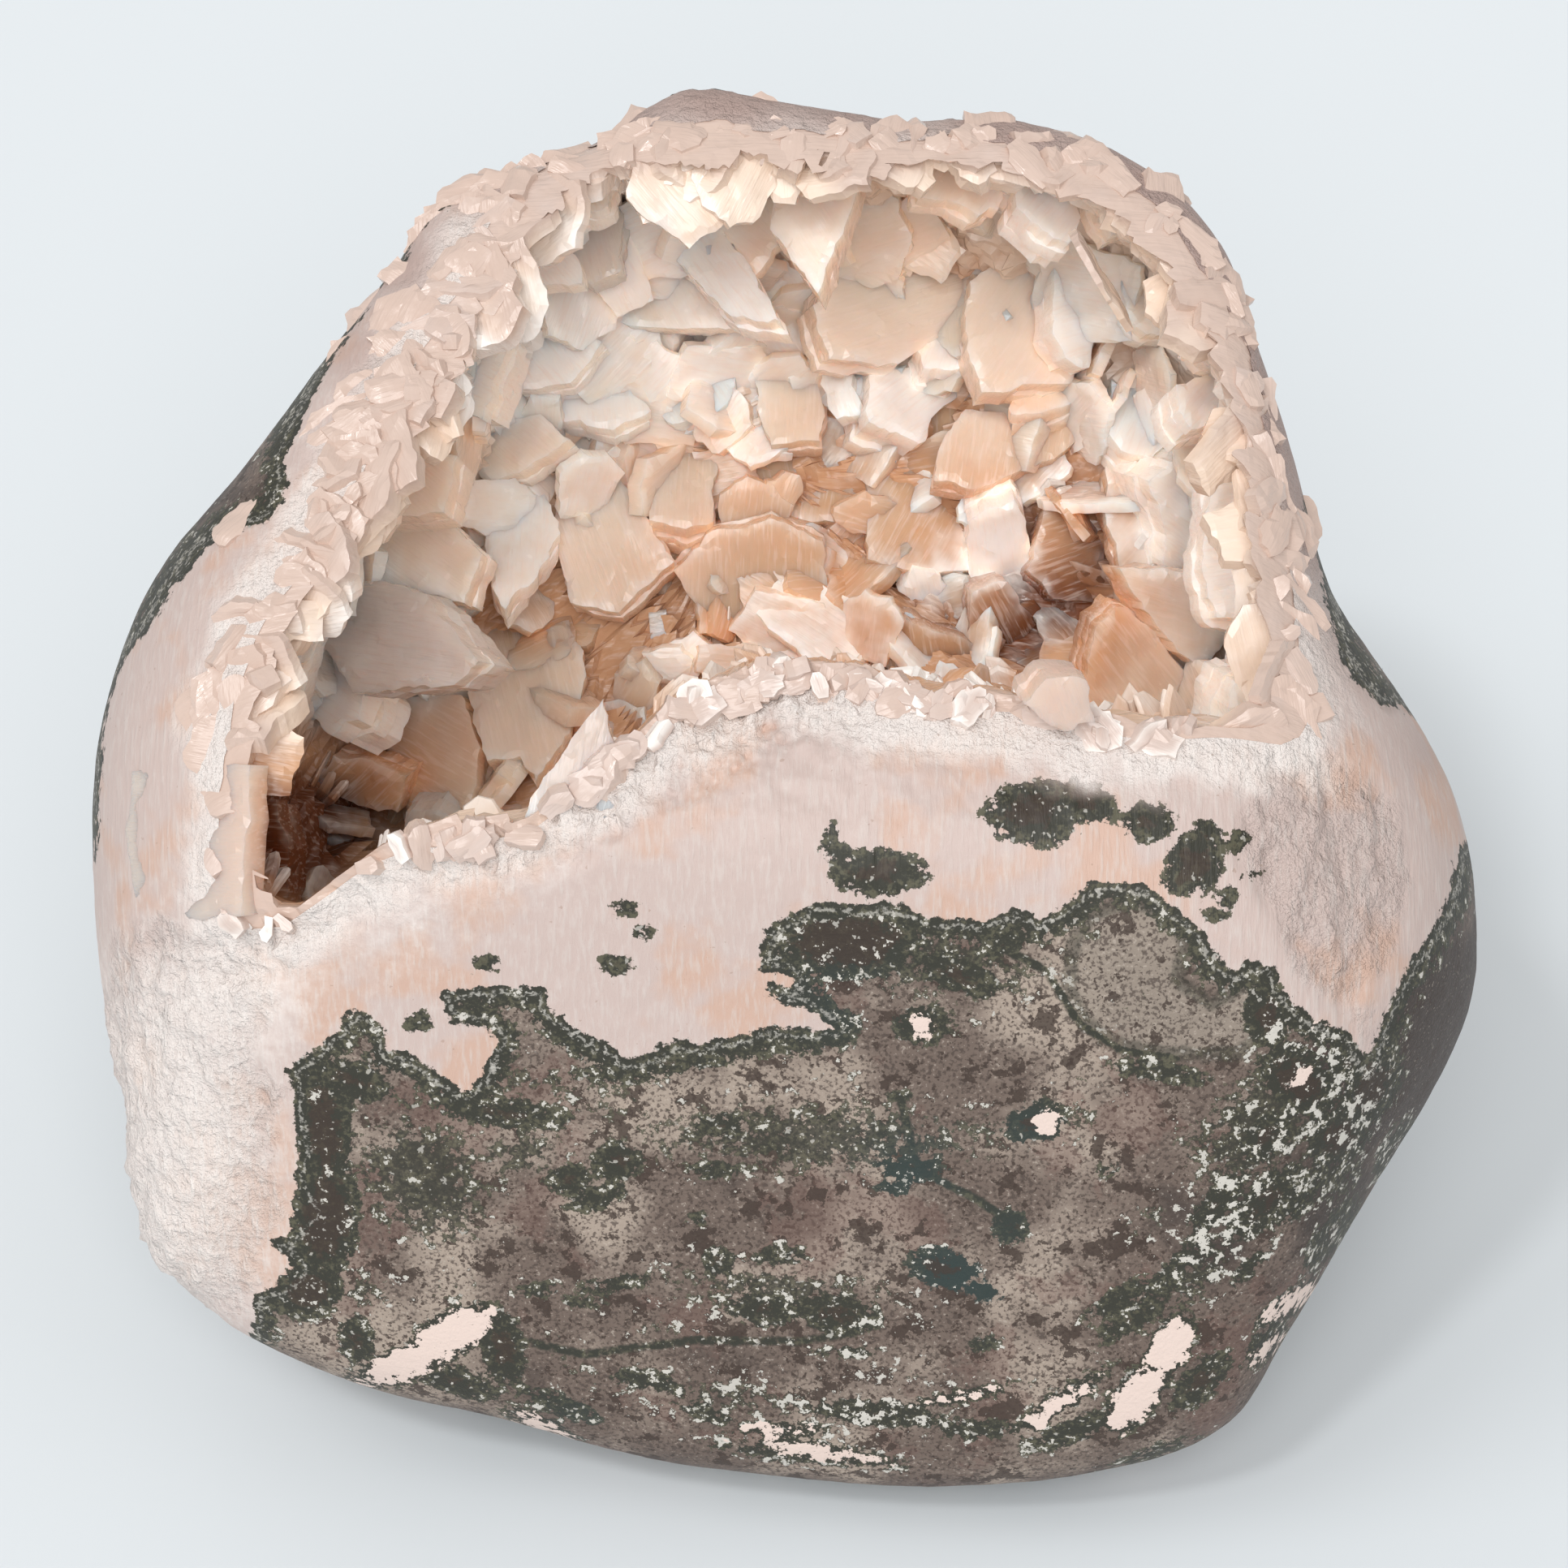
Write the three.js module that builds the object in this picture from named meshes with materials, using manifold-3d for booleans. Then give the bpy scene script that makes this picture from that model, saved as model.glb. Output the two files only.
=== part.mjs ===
// A heulandite geode: a ground nodule of basalt, open towards the top and the front.
// Three things grew into one another and are three meshes here: the basalt, the pale pink
// massive lining that stuck to it, and the crust of bladed crystals that covers the hollow.
// Millimetres, +Z up, +X to the right, -Y to the front. The origin is on the flat ground base,
// straight below the middle of the stone.
import * as THREE from "three";
import { ConvexGeometry } from "three/addons/geometries/ConvexGeometry.js";
import { mergeVertices } from "three/addons/utils/BufferGeometryUtils.js";
import Module from "manifold-3d";

const wasm = await Module();
wasm.setup();

// The stone is described as it is seen by someone who looks down at its front by VIEW_TILT,
// from EYE away. Places on that view are [x, y] in pixels of a square picture, and
// MM_PER_PIXEL is their real size at the stone's middle.
const VIEW_TILT = THREE.MathUtils.degToRad(40);
const EYE = 470;
const MM_PER_PIXEL = 0.0878;
const MIDDLE_PIXEL = [966, 965];
const MIDDLE_HEIGHT = 62;

// The stone's outline in that view: [degrees from the right, distance from the middle].
const OUTLINE = [
  [0, 71.7], [12, 64.9], [20, 62.4], [30, 64.2], [42, 69], [51, 75], [60, 77.8], [70, 77.1],
  [80, 73.9], [90, 75.1], [98, 77.4], [107, 72.8], [120, 73.6], [127, 69.8], [138, 67.2],
  [150, 67.4], [162, 71.2], [175, 73.6], [190, 75.2], [203, 78.2], [211, 82.2], [217, 85.4],
  [224, 83.8], [234, 80], [246, 75.5], [258, 75], [270, 75.7], [282, 78.4], [294, 81.8],
  [305, 84.8], [313, 81.3], [325, 78.8], [341, 80.3], [350, 76.6],
];
const FRONT_DEPTH = 50;
const BACK_DEPTH = 60;
const BODY_ROUNDNESS = 2.4;

// Ground faces: [degrees right of the front, degrees up, distance from the middle].
const GROUND_FACES = [
  [-4, 12, 44], // the large front face
  [0, 68, 39.5], // the broken rim round the hollow
  [58, -4, 78], // right shoulder
  [180, 8, 70], // back
  [0, -90, 66], // base, rounded at its edge
];
const EDGE_SHARPNESS = 16;

// The hollow: the pixels of its edge in the view, round HOLLOW_PIXEL, and its floor.
const HOLLOW_PIXEL = [960, 560];
const HOLLOW_OUTLINE = [
  [1568, 540], [1540, 440], [1485, 330], [1425, 256], [1340, 206], [1190, 166], [1080, 172],
  [960, 158], [860, 152], [765, 170], [640, 225], [585, 320], [515, 450], [450, 565],
  [370, 695], [315, 790], [286, 880], [290, 1125], [355, 1138], [424, 1078], [556, 1038],
  [636, 1030], [752, 945], [830, 884], [900, 858], [960, 840], [1060, 848], [1120, 868],
  [1245, 874], [1345, 902], [1506, 908], [1600, 906], [1604, 830], [1588, 690],
];
// Levels count towards the eye from the stone's middle: the bowl lies behind RIM_LEVEL.
const RIM_LEVEL = -8;
const FLOOR_DEPTH = 27;
const FLOOR_ROUNDNESS = 2.6;
const POCKET = { pixel: [400, 980], depth: 15, reach: 17 }; // the dark cave at the lower left
const UNDERCUT = { towards: 266, spread: 60, reach: 15, from: 26, to: 4 }; // behind the front wall

// The lining: its thickness round the hollow, and the outline in which it comes to the surface.
const LINING_THICKNESS = 9;
const SURFACE_LINING_DEPTH = 11;
const BASALT_SKIN = 2.2;
const LINING_BACK_LEVEL = -1.5;
const LINING_FRONT_LEVEL = 90;
const LINING_OUTLINE = [
  [560, 236], [536, 262], [498, 329], [463, 356], [414, 436], [368, 520], [352, 605], [320, 648],
  [253, 676], [192, 764], [140, 850], [122, 983], [112, 1110], [60, 1230], [120, 1660],
  [309, 1648], [314, 1591], [368, 1565], [337, 1530], [383, 1499], [364, 1440], [353, 1318],
  [414, 1268], [452, 1243], [477, 1291], [571, 1344], [613, 1279], [677, 1237], [776, 1306],
  [875, 1283], [1025, 1264], [942, 1218], [933, 1168], [1006, 1111], [1101, 1111], [1253, 1122],
  [1314, 1114], [1386, 1086], [1457, 1124], [1498, 1178], [1569, 1188], [1610, 1247],
  [1687, 1318], [1710, 1237], [1758, 1155], [1794, 1048], [1880, 980], [1720, 868], [1651, 802],
  [1624, 687], [1603, 611], [1700, 400], [1500, 60], [800, -20],
];

const GAP = 0.3; // between solids that touch
const CRUST_THICKNESS = 1.8;
const RIM_STEP = 1; // how far the crust's edge stays under the broken rim

// The large crystals: [direction in the view in which the plate rises to the eye, degrees by
// which it rises, thickness in mm, then x and y of each corner of its outline in pixels].
const PLATES = [
  [265, 26, 4, [790, 200, 824, 232, 866, 192, 846, 166, 838, 132, 800, 150]],
  [285, 24, 3.5, [700, 250, 768, 250, 767, 330, 728, 346, 700, 322, 688, 280]],
  [310, 22, 3, [582, 268, 655, 252, 712, 318, 716, 346, 640, 354, 606, 305]],
  [305, 30, 5, [790, 245, 845, 232, 882, 270, 932, 340, 962, 396, 900, 388, 850, 335, 798, 285]],
  [300, 16, 4, [770, 300, 850, 322, 940, 365, 962, 400, 860, 404, 750, 396, 742, 350]],
  [300, 28, 5, [970, 166, 1000, 168, 1062, 192, 1050, 245, 1008, 362, 985, 330, 948, 280, 962, 205]],
  [200, 24, 6, [1002, 375, 1022, 338, 1092, 294, 1150, 300, 1200, 342, 1196, 388, 1108, 447, 1022, 442]],
  [250, 34, 6, [1150, 385, 1186, 377, 1212, 402, 1196, 442, 1180, 456, 1138, 452, 1128, 420]],
  [220, 32, 7, [1073, 450, 1148, 446, 1192, 470, 1150, 512, 1132, 546, 1104, 532, 1068, 522]],
  [270, 24, 4, [966, 408, 992, 420, 1016, 500, 1010, 542, 950, 545, 932, 500, 936, 446]],
  [300, 28, 4.5, [802, 450, 870, 424, 902, 446, 900, 490, 878, 514, 828, 521, 800, 500]],
  [275, 30, 3.5, [658, 482, 740, 484, 776, 477, 802, 504, 756, 528, 715, 516, 652, 510]],
  [330, 34, 6, [585, 400, 606, 397, 625, 416, 612, 452, 594, 516, 560, 506, 553, 468, 568, 430]],
  [310, 20, 4, [640, 398, 700, 400, 742, 420, 702, 470, 640, 480, 608, 450]],
  [290, 30, 4, [680, 214, 716, 206, 760, 200, 748, 250, 700, 264, 672, 240]],
  [320, 20, 4, [830, 225, 900, 224, 950, 240, 958, 300, 930, 338, 880, 272]],
  [235, 30, 4, [1130, 192, 1156, 165, 1182, 165, 1236, 236, 1230, 257, 1206, 265, 1178, 246, 1134, 240]],
  [250, 42, 6, [1222, 162, 1250, 152, 1275, 156, 1290, 186, 1262, 214, 1240, 206, 1233, 184]],
  [230, 34, 6, [1256, 212, 1290, 194, 1326, 240, 1330, 272, 1318, 298, 1298, 292, 1254, 252]],
  [225, 26, 4, [1350, 226, 1376, 214, 1434, 260, 1400, 276, 1370, 289, 1353, 260]],
  [215, 30, 4, [1382, 328, 1400, 321, 1436, 340, 1464, 392, 1450, 411, 1414, 410, 1390, 386]],
  [200, 30, 5, [1300, 325, 1344, 303, 1362, 340, 1354, 378, 1342, 452, 1318, 446, 1296, 410]],
  [235, 22, 5, [1196, 344, 1240, 308, 1290, 338, 1302, 430, 1330, 446, 1318, 472, 1210, 482, 1190, 430]],
  [265, 36, 4, [1248, 484, 1318, 474, 1346, 450, 1342, 482, 1300, 502, 1246, 508]],
  [245, 30, 6, [1370, 466, 1400, 474, 1426, 482, 1437, 546, 1420, 563, 1390, 556, 1368, 532]],
  [225, 38, 6, [1450, 472, 1515, 450, 1537, 470, 1530, 500, 1498, 516, 1470, 526, 1454, 504]],
  [215, 30, 5, [1510, 508, 1546, 500, 1562, 530, 1579, 566, 1572, 583, 1538, 576, 1508, 540]],
  [205, 26, 4, [1455, 300, 1490, 308, 1518, 350, 1532, 440, 1500, 452, 1470, 430, 1464, 380]],
  [260, 20, 5, [1190, 500, 1252, 506, 1334, 490, 1346, 520, 1300, 562, 1200, 602, 1150, 592, 1160, 545]],
  [240, 18, 5, [1070, 560, 1150, 558, 1188, 600, 1196, 700, 1130, 704, 1068, 690]],
  [100, 40, 8, [1191, 672, 1193, 645, 1222, 625, 1250, 614, 1264, 640, 1273, 694, 1236, 714, 1200, 736]],
  [110, 38, 4, [1108, 730, 1126, 700, 1152, 704, 1172, 736, 1160, 748, 1130, 752]],
  [200, 22, 4, [1290, 622, 1330, 610, 1352, 650, 1372, 742, 1300, 736, 1268, 700]],
  [150, 34, 8, [1416, 592, 1442, 568, 1470, 560, 1500, 574, 1494, 622, 1478, 704, 1436, 700, 1440, 660]],
  [190, 20, 5, [1500, 562, 1540, 580, 1592, 652, 1586, 722, 1542, 770, 1500, 760, 1482, 700]],
  [165, 34, 5, [1381, 700, 1440, 700, 1516, 710, 1541, 752, 1520, 790, 1486, 822, 1454, 804, 1408, 750]],
  [130, 28, 6, [1350, 772, 1376, 748, 1400, 760, 1464, 830, 1450, 862, 1400, 898, 1358, 894, 1328, 880]],
  [170, 26, 4, [1534, 786, 1580, 790, 1591, 842, 1540, 846, 1528, 820]],
  [140, 34, 7, [1524, 840, 1560, 837, 1610, 850, 1618, 884, 1600, 904, 1508, 904, 1512, 870]],
  [120, 26, 5, [1198, 730, 1240, 715, 1277, 770, 1250, 802, 1188, 792]],
  [100, 24, 5, [1100, 760, 1190, 788, 1242, 830, 1230, 868, 1150, 862, 1088, 820]],
  [270, 34, 5, [594, 590, 620, 568, 666, 590, 690, 650, 677, 682, 623, 752, 609, 730, 600, 690]],
  [90, 22, 7, [830, 702, 870, 658, 950, 638, 1014, 668, 1026, 745, 1000, 792, 930, 800, 862, 748]],
  [270, 30, 6, [818, 540, 860, 520, 882, 560, 879, 640, 845, 652, 800, 642, 798, 600]],
  [280, 16, 5, [870, 530, 950, 520, 992, 560, 962, 620, 900, 640, 880, 600]],
  [290, 16, 5, [690, 560, 740, 556, 800, 640, 830, 690, 762, 752, 702, 740, 680, 650]],
  [260, 20, 5, [958, 590, 1000, 560, 1062, 580, 1052, 642, 990, 642, 954, 626]],
  [285, 28, 6, [575, 850, 600, 770, 700, 760, 722, 830, 702, 900, 660, 962, 640, 930, 600, 936]],
  [60, 30, 5, [755, 832, 790, 815, 812, 842, 800, 892, 770, 890, 752, 860]],
  [320, 28, 4, [600, 515, 665, 508, 702, 540, 640, 582, 598, 590, 580, 560]],
  [350, 40, 7, [365, 780, 400, 735, 450, 714, 522, 730, 596, 815, 560, 843, 430, 852, 398, 800]],
  [330, 44, 8, [380, 850, 395, 812, 430, 800, 456, 842, 442, 886, 410, 906, 384, 882]],
  [320, 30, 5, [400, 600, 430, 560, 500, 544, 562, 560, 546, 630, 480, 636, 420, 642]],
  [325, 24, 5, [420, 682, 450, 650, 552, 640, 592, 680, 572, 742, 500, 720, 430, 722]],
  [330, 30, 6, [460, 880, 480, 850, 570, 856, 592, 920, 580, 1000, 540, 1020, 500, 1000, 480, 940]],
  [10, 40, 4, [268, 890, 322, 905, 306, 940, 272, 946]],
  [0, 24, 5, [305, 990, 340, 984, 356, 1040, 350, 1126, 300, 1124, 296, 1060]],
  [40, 30, 5, [375, 960, 410, 930, 470, 945, 502, 955, 490, 1000, 440, 992]],
  [60, 34, 5, [494, 1040, 500, 1000, 540, 996, 562, 1010, 556, 1040]],
  [20, 26, 5, [330, 800, 372, 700, 402, 660, 412, 700, 372, 800, 350, 880, 322, 890]],
  [330, 24, 5, [440, 500, 520, 470, 548, 500, 520, 546, 450, 560, 418, 550]],
  [90, 26, 5, [900, 850, 930, 812, 1000, 800, 1060, 812, 1080, 850, 990, 870]],
  [110, 30, 5, [1262, 868, 1290, 838, 1340, 840, 1350, 890, 1310, 900]],
  [230, 20, 4, [1370, 560, 1420, 580, 1440, 650, 1430, 700, 1382, 700, 1360, 620]],
];

// Crystals that stand on the lip of the front wall and reach over the hollow: as above, and
// behind the corners the pixel of the lip on which each one stands.
const LIP_PLATES = [
  [80, 4, 8, [742, 863, 750, 900, 766, 970, 752, 1060, 660, 1060, 634, 1040, 668, 960], [735, 1010]],
];

// Smaller crystals: how many there are in the bowl and on the front wall's inner side.
const BOWL_FILLERS = 12;
const WALL_FILLERS = 12;
const FILLER_SEED = 20;
const FILLER_OUTLINE = [[-0.3, -0.8], [0.7, -1], [1, -0.2], [0.7, 1], [-0.3, 0.8]];
const FILLER_LENGTH = [6, 10];
const FILLER_HALF_WIDTH = [2.6, 4.4];
const FILLER_THICKNESS = [2.2, 3.2];
const WALL_TURN = [202, 331]; // degrees in the view between which the front wall lies
const WALL_LEVELS = [-8, 22];
const ROOT_DEPTH = 1; // how far the corner that a crystal grows from lies in the wall

const RIGHT = new THREE.Vector3(1, 0, 0);
const UP = new THREE.Vector3(0, Math.sin(VIEW_TILT), Math.cos(VIEW_TILT));
const TO_EYE = new THREE.Vector3(0, -Math.cos(VIEW_TILT), Math.sin(VIEW_TILT));
const MIDDLE = new THREE.Vector3(0, 0, MIDDLE_HEIGHT);

// 1 up to one value, 0 from the other on, and smooth between them.
const fade = (full, none, x) => 1 - THREE.MathUtils.smoothstep(x, full, none);

// A smooth closed curve through a table of [degrees, value], as a function of an angle in radians.
function roundTable(table) {
  const count = table.length;
  const angle = (i) => table[((i % count) + count) % count][0] + 360 * Math.floor(i / count);
  const value = (i) => table[((i % count) + count) % count][1];
  const slope = (i) => (value(i + 1) - value(i - 1)) / (angle(i + 1) - angle(i - 1));
  return (radians) => {
    let degrees = THREE.MathUtils.radToDeg(radians);
    degrees -= 360 * Math.floor((degrees - angle(0)) / 360);
    let i = 0;
    while (angle(i + 1) <= degrees) i += 1;
    const span = angle(i + 1) - angle(i);
    const t = (degrees - angle(i)) / span;
    const start = (1 + 2 * t) * (1 - t) ** 2 * value(i) + t * (1 - t) ** 2 * span * slope(i);
    return start + t * t * (3 - 2 * t) * value(i + 1) + t * t * (t - 1) * span * slope(i + 1);
  };
}

// View coordinates [across, up, towards the eye] round the stone's middle, and back.
function toWorld(across, up, near) {
  return MIDDLE.clone()
    .addScaledVector(RIGHT, across)
    .addScaledVector(UP, up)
    .addScaledVector(TO_EYE, near);
}

// What the eye sees at a pixel, at the depth of the stone's middle.
function pixelPlace([x, y]) {
  return [(x - MIDDLE_PIXEL[0]) * MM_PER_PIXEL, (MIDDLE_PIXEL[1] - y) * MM_PER_PIXEL];
}

// The same place on the view at another depth, where sight lines have drawn together or apart.
function atDepth([across, up], near) {
  const share = 1 - near / EYE;
  return [across * share, up * share];
}

function solidFrom(geometry) {
  geometry.deleteAttribute("normal");
  geometry.deleteAttribute("uv");
  const merged = mergeVertices(geometry, 1e-4);
  return new wasm.Manifold(
    new wasm.Mesh({
      numProp: 3,
      vertProperties: merged.attributes.position.array,
      triVerts: new Uint32Array(merged.index.array),
    }),
  );
}

// The stone's surface along a direction from its middle.
const outlineRadius = roundTable(OUTLINE);
const faceNormals = GROUND_FACES.map(([turn, rise, distance]) => {
  const azimuth = THREE.MathUtils.degToRad(turn);
  const elevation = THREE.MathUtils.degToRad(rise);
  const flat = Math.cos(elevation);
  const normal = [Math.sin(azimuth) * flat, -Math.cos(azimuth) * flat, Math.sin(elevation)];
  return { normal: new THREE.Vector3(...normal), distance };
});

function stoneRadius(direction) {
  const across = direction.dot(RIGHT);
  const up = direction.dot(UP);
  const near = direction.dot(TO_EYE);
  const flat = Math.hypot(across, up) / outlineRadius(Math.atan2(up, across));
  const deep = Math.abs(near) / (near > 0 ? FRONT_DEPTH : BACK_DEPTH);
  const body = (flat ** BODY_ROUNDNESS + deep ** BODY_ROUNDNESS) ** (1 / BODY_ROUNDNESS);
  let sum = body ** EDGE_SHARPNESS;
  for (const { normal, distance } of faceNormals)
    sum += (Math.max(0, normal.dot(direction)) / distance) ** EDGE_SHARPNESS;
  return sum ** (-1 / EDGE_SHARPNESS);
}

// The whole stone as if it had no hollow, grown by some millimetres, standing on its base.
function stone(grow, detail) {
  const geometry = new THREE.IcosahedronGeometry(1, detail);
  const position = geometry.attributes.position;
  const point = new THREE.Vector3();
  for (let i = 0; i < position.count; i += 1) {
    point.fromBufferAttribute(position, i).normalize();
    point.multiplyScalar(stoneRadius(point) + grow).add(MIDDLE);
    position.setXYZ(i, point.x, point.y, point.z);
  }
  const ground = new THREE.BoxGeometry(EYE, EYE, EYE).translate(0, 0, -EYE / 2 - Math.min(0, grow));
  return solidFrom(geometry).subtract(solidFrom(ground));
}

// The hollow. Behind RIM_LEVEL it is a bowl over its outline; before it, a tube to the eye
// whose lower side is cut back under the lip of the front wall.
const [HOLLOW_ACROSS, HOLLOW_UP] = pixelPlace(HOLLOW_PIXEL);
const HOLLOW_TABLE = HOLLOW_OUTLINE.map((pixel) => {
  const [across, up] = pixelPlace(pixel);
  const degrees = THREE.MathUtils.radToDeg(Math.atan2(up - HOLLOW_UP, across - HOLLOW_ACROSS));
  const turned = degrees < 0 ? degrees + 360 : degrees;
  return [turned, Math.hypot(across - HOLLOW_ACROSS, up - HOLLOW_UP)];
});
const hollowRadius = roundTable(HOLLOW_TABLE);
const [POCKET_ACROSS, POCKET_UP] = pixelPlace(POCKET.pixel);

function undercut(angle, near) {
  const degrees = THREE.MathUtils.radToDeg(angle);
  const apart = Math.abs(((degrees - UNDERCUT.towards + 540) % 360) - 180);
  return UNDERCUT.reach * fade(0, UNDERCUT.spread, apart) * fade(UNDERCUT.to, UNDERCUT.from, near);
}

function floorDepth(across, up) {
  const apart = Math.hypot(across - POCKET_ACROSS, up - POCKET_UP) / POCKET.reach;
  return FLOOR_DEPTH + POCKET.depth * Math.exp(-apart * apart);
}

function bowlPoint(angle, share, shrink) {
  const radius = hollowRadius(angle) + undercut(angle, RIM_LEVEL) - shrink;
  const across = HOLLOW_ACROSS + Math.cos(angle) * radius * share;
  const up = HOLLOW_UP + Math.sin(angle) * radius * share;
  const bend = (1 - share ** FLOOR_ROUNDNESS) ** (1 / FLOOR_ROUNDNESS);
  return [across, up, RIM_LEVEL - (floorDepth(across, up) - shrink) * bend];
}

function tubePoint(angle, near, shrink) {
  const radius = hollowRadius(angle) + undercut(angle, near) - shrink;
  const [across, up] = [Math.cos(angle) * radius, Math.sin(angle) * radius];
  return [...atDepth([HOLLOW_ACROSS + across, HOLLOW_UP + up], near), near];
}

// Where the rings of the hollow's surface lie, and where the tube ends beyond the rim.
const BOWL_SHARES = [0.5, 0.85, 1];
const MOUTH_LEVEL = 75;
const TUBE_LEVELS = [4, 14, 26, MOUTH_LEVEL];
const RING_ANGLES = HOLLOW_TABLE.map(([degrees]) => THREE.MathUtils.degToRad(degrees));

// The hollow as a solid: rings from its floor out past the rim, with the wall moved in by shrink.
// A step of 2 leaves out every second corner.
function hollow(shrink, step = 1) {
  const angles = RING_ANGLES.filter((_, i) => i % step === 0);
  const around = angles.length;
  const rings = [
    ...BOWL_SHARES.map((share) => angles.map((angle) => bowlPoint(angle, share, shrink))),
    ...TUBE_LEVELS.map((near) => angles.map((angle) => tubePoint(angle, near, shrink))),
  ];
  const floor = toWorld(...bowlPoint(0, 0, shrink));
  const mouth = toWorld(...atDepth([HOLLOW_ACROSS, HOLLOW_UP], MOUTH_LEVEL), MOUTH_LEVEL);
  const points = [floor, ...rings.flat().map((place) => toWorld(...place)), mouth];
  const faces = [];
  const at = (ring, i) => 1 + ring * around + (i % around);
  for (let i = 0; i < around; i += 1) {
    faces.push(0, at(0, i + 1), at(0, i));
    for (let ring = 0; ring + 1 < rings.length; ring += 1) {
      faces.push(at(ring, i), at(ring, i + 1), at(ring + 1, i));
      faces.push(at(ring + 1, i), at(ring, i + 1), at(ring + 1, i + 1));
    }
    faces.push(points.length - 1, at(rings.length - 1, i), at(rings.length - 1, i + 1));
  }
  const geometry = new THREE.BufferGeometry().setFromPoints(points);
  geometry.setIndex(faces);
  return solidFrom(geometry);
}

// A column along the sight lines through an outline of the view, from one depth to another.
function column(pixels, grow, back, front) {
  const corners = pixels.map((pixel) => new THREE.Vector2(...pixelPlace(pixel)));
  const side = THREE.ShapeUtils.isClockWise(corners) ? -grow : grow;
  const outward = corners.map((corner, i) => {
    const edge = corners[(i + 1) % corners.length].clone().sub(corner).normalize();
    return new THREE.Vector2(edge.y, -edge.x);
  });
  const moved = corners.map((corner, i) => {
    const before = outward[(i + corners.length - 1) % corners.length];
    const bisector = before.clone().add(outward[i]);
    const reach = Math.max(0.3, bisector.lengthSq() / 2);
    return corner.clone().addScaledVector(bisector, side / reach);
  });
  const settings = { depth: front - back, bevelEnabled: false };
  const geometry = new THREE.ExtrudeGeometry(new THREE.Shape(moved), settings);
  const position = geometry.attributes.position;
  for (let i = 0; i < position.count; i += 1) {
    const near = back + position.getZ(i);
    const [across, up] = atDepth([position.getX(i), position.getY(i)], near);
    const point = toWorld(across, up, near);
    position.setXYZ(i, point.x, point.y, point.z);
  }
  return solidFrom(geometry);
}

// The space that the lining takes, with the hollow still filled.
function liningBlock(grow) {
  const surface = column(LINING_OUTLINE, grow, LINING_BACK_LEVEL - grow, LINING_FRONT_LEVEL)
    .subtract(stone(-SURFACE_LINING_DEPTH - grow, INNER_DETAIL));
  const round = stone(-BASALT_SKIN + grow, INNER_DETAIL)
    .intersect(hollow(-LINING_THICKNESS - grow, 2));
  return surface.add(round);
}

// Where the sight line through a pixel meets the hollow's floor, in view coordinates.
function hollowFloor(pixel) {
  const place = pixelPlace(pixel);
  let near = RIM_LEVEL - FLOOR_DEPTH;
  let across = 0;
  let up = 0;
  for (let round = 0; round < 6; round += 1) {
    [across, up] = atDepth(place, near);
    const angle = Math.atan2(up - HOLLOW_UP, across - HOLLOW_ACROSS);
    const reach = hollowRadius(angle) + undercut(angle, RIM_LEVEL);
    const share = Math.min(1, Math.hypot(across - HOLLOW_ACROSS, up - HOLLOW_UP) / reach);
    const bend = (1 - share ** FLOOR_ROUNDNESS) ** (1 / FLOOR_ROUNDNESS);
    near = RIM_LEVEL - floorDepth(across, up) * bend;
  }
  return [across, up, near];
}

// The stone's front surface on the sight line through a pixel, in view coordinates.
function frontSurface(pixel) {
  const place = pixelPlace(pixel);
  let [low, high] = [-FRONT_DEPTH, LINING_FRONT_LEVEL];
  while (high - low > 0.05) {
    const near = (low + high) / 2;
    const direction = toWorld(...atDepth(place, near), near).sub(MIDDLE);
    const inside = direction.length() < stoneRadius(direction.clone().normalize());
    if (inside) low = near;
    else high = near;
  }
  return [...atDepth(place, low), low];
}

// A tabular crystal as a solid: its front face, corner by corner as the eye sees them against
// the clock, and the same face moved back by a vector.
function slab(front, shift) {
  const count = front.length;
  const back = front.map((point) => point.clone().add(shift));
  const flat = front.map((point) => new THREE.Vector2(point.dot(RIGHT), point.dot(UP)));
  const faces = [];
  for (const [i, j, k] of THREE.ShapeUtils.triangulateShape(flat, [])) {
    faces.push(i, j, k);
    faces.push(count + i, count + k, count + j);
  }
  for (let i = 0; i < count; i += 1) {
    const next = (i + 1) % count;
    faces.push(i, count + i, count + next);
    faces.push(i, count + next, next);
  }
  const geometry = new THREE.BufferGeometry().setFromPoints([...front, ...back]);
  geometry.setIndex(faces);
  return solidFrom(geometry);
}

// The same for a convex outline that faces any way.
function freeSlab(front, shift) {
  const hull = new ConvexGeometry([...front, ...front.map((point) => point.clone().add(shift))]);
  return solidFrom(hull);
}

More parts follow.
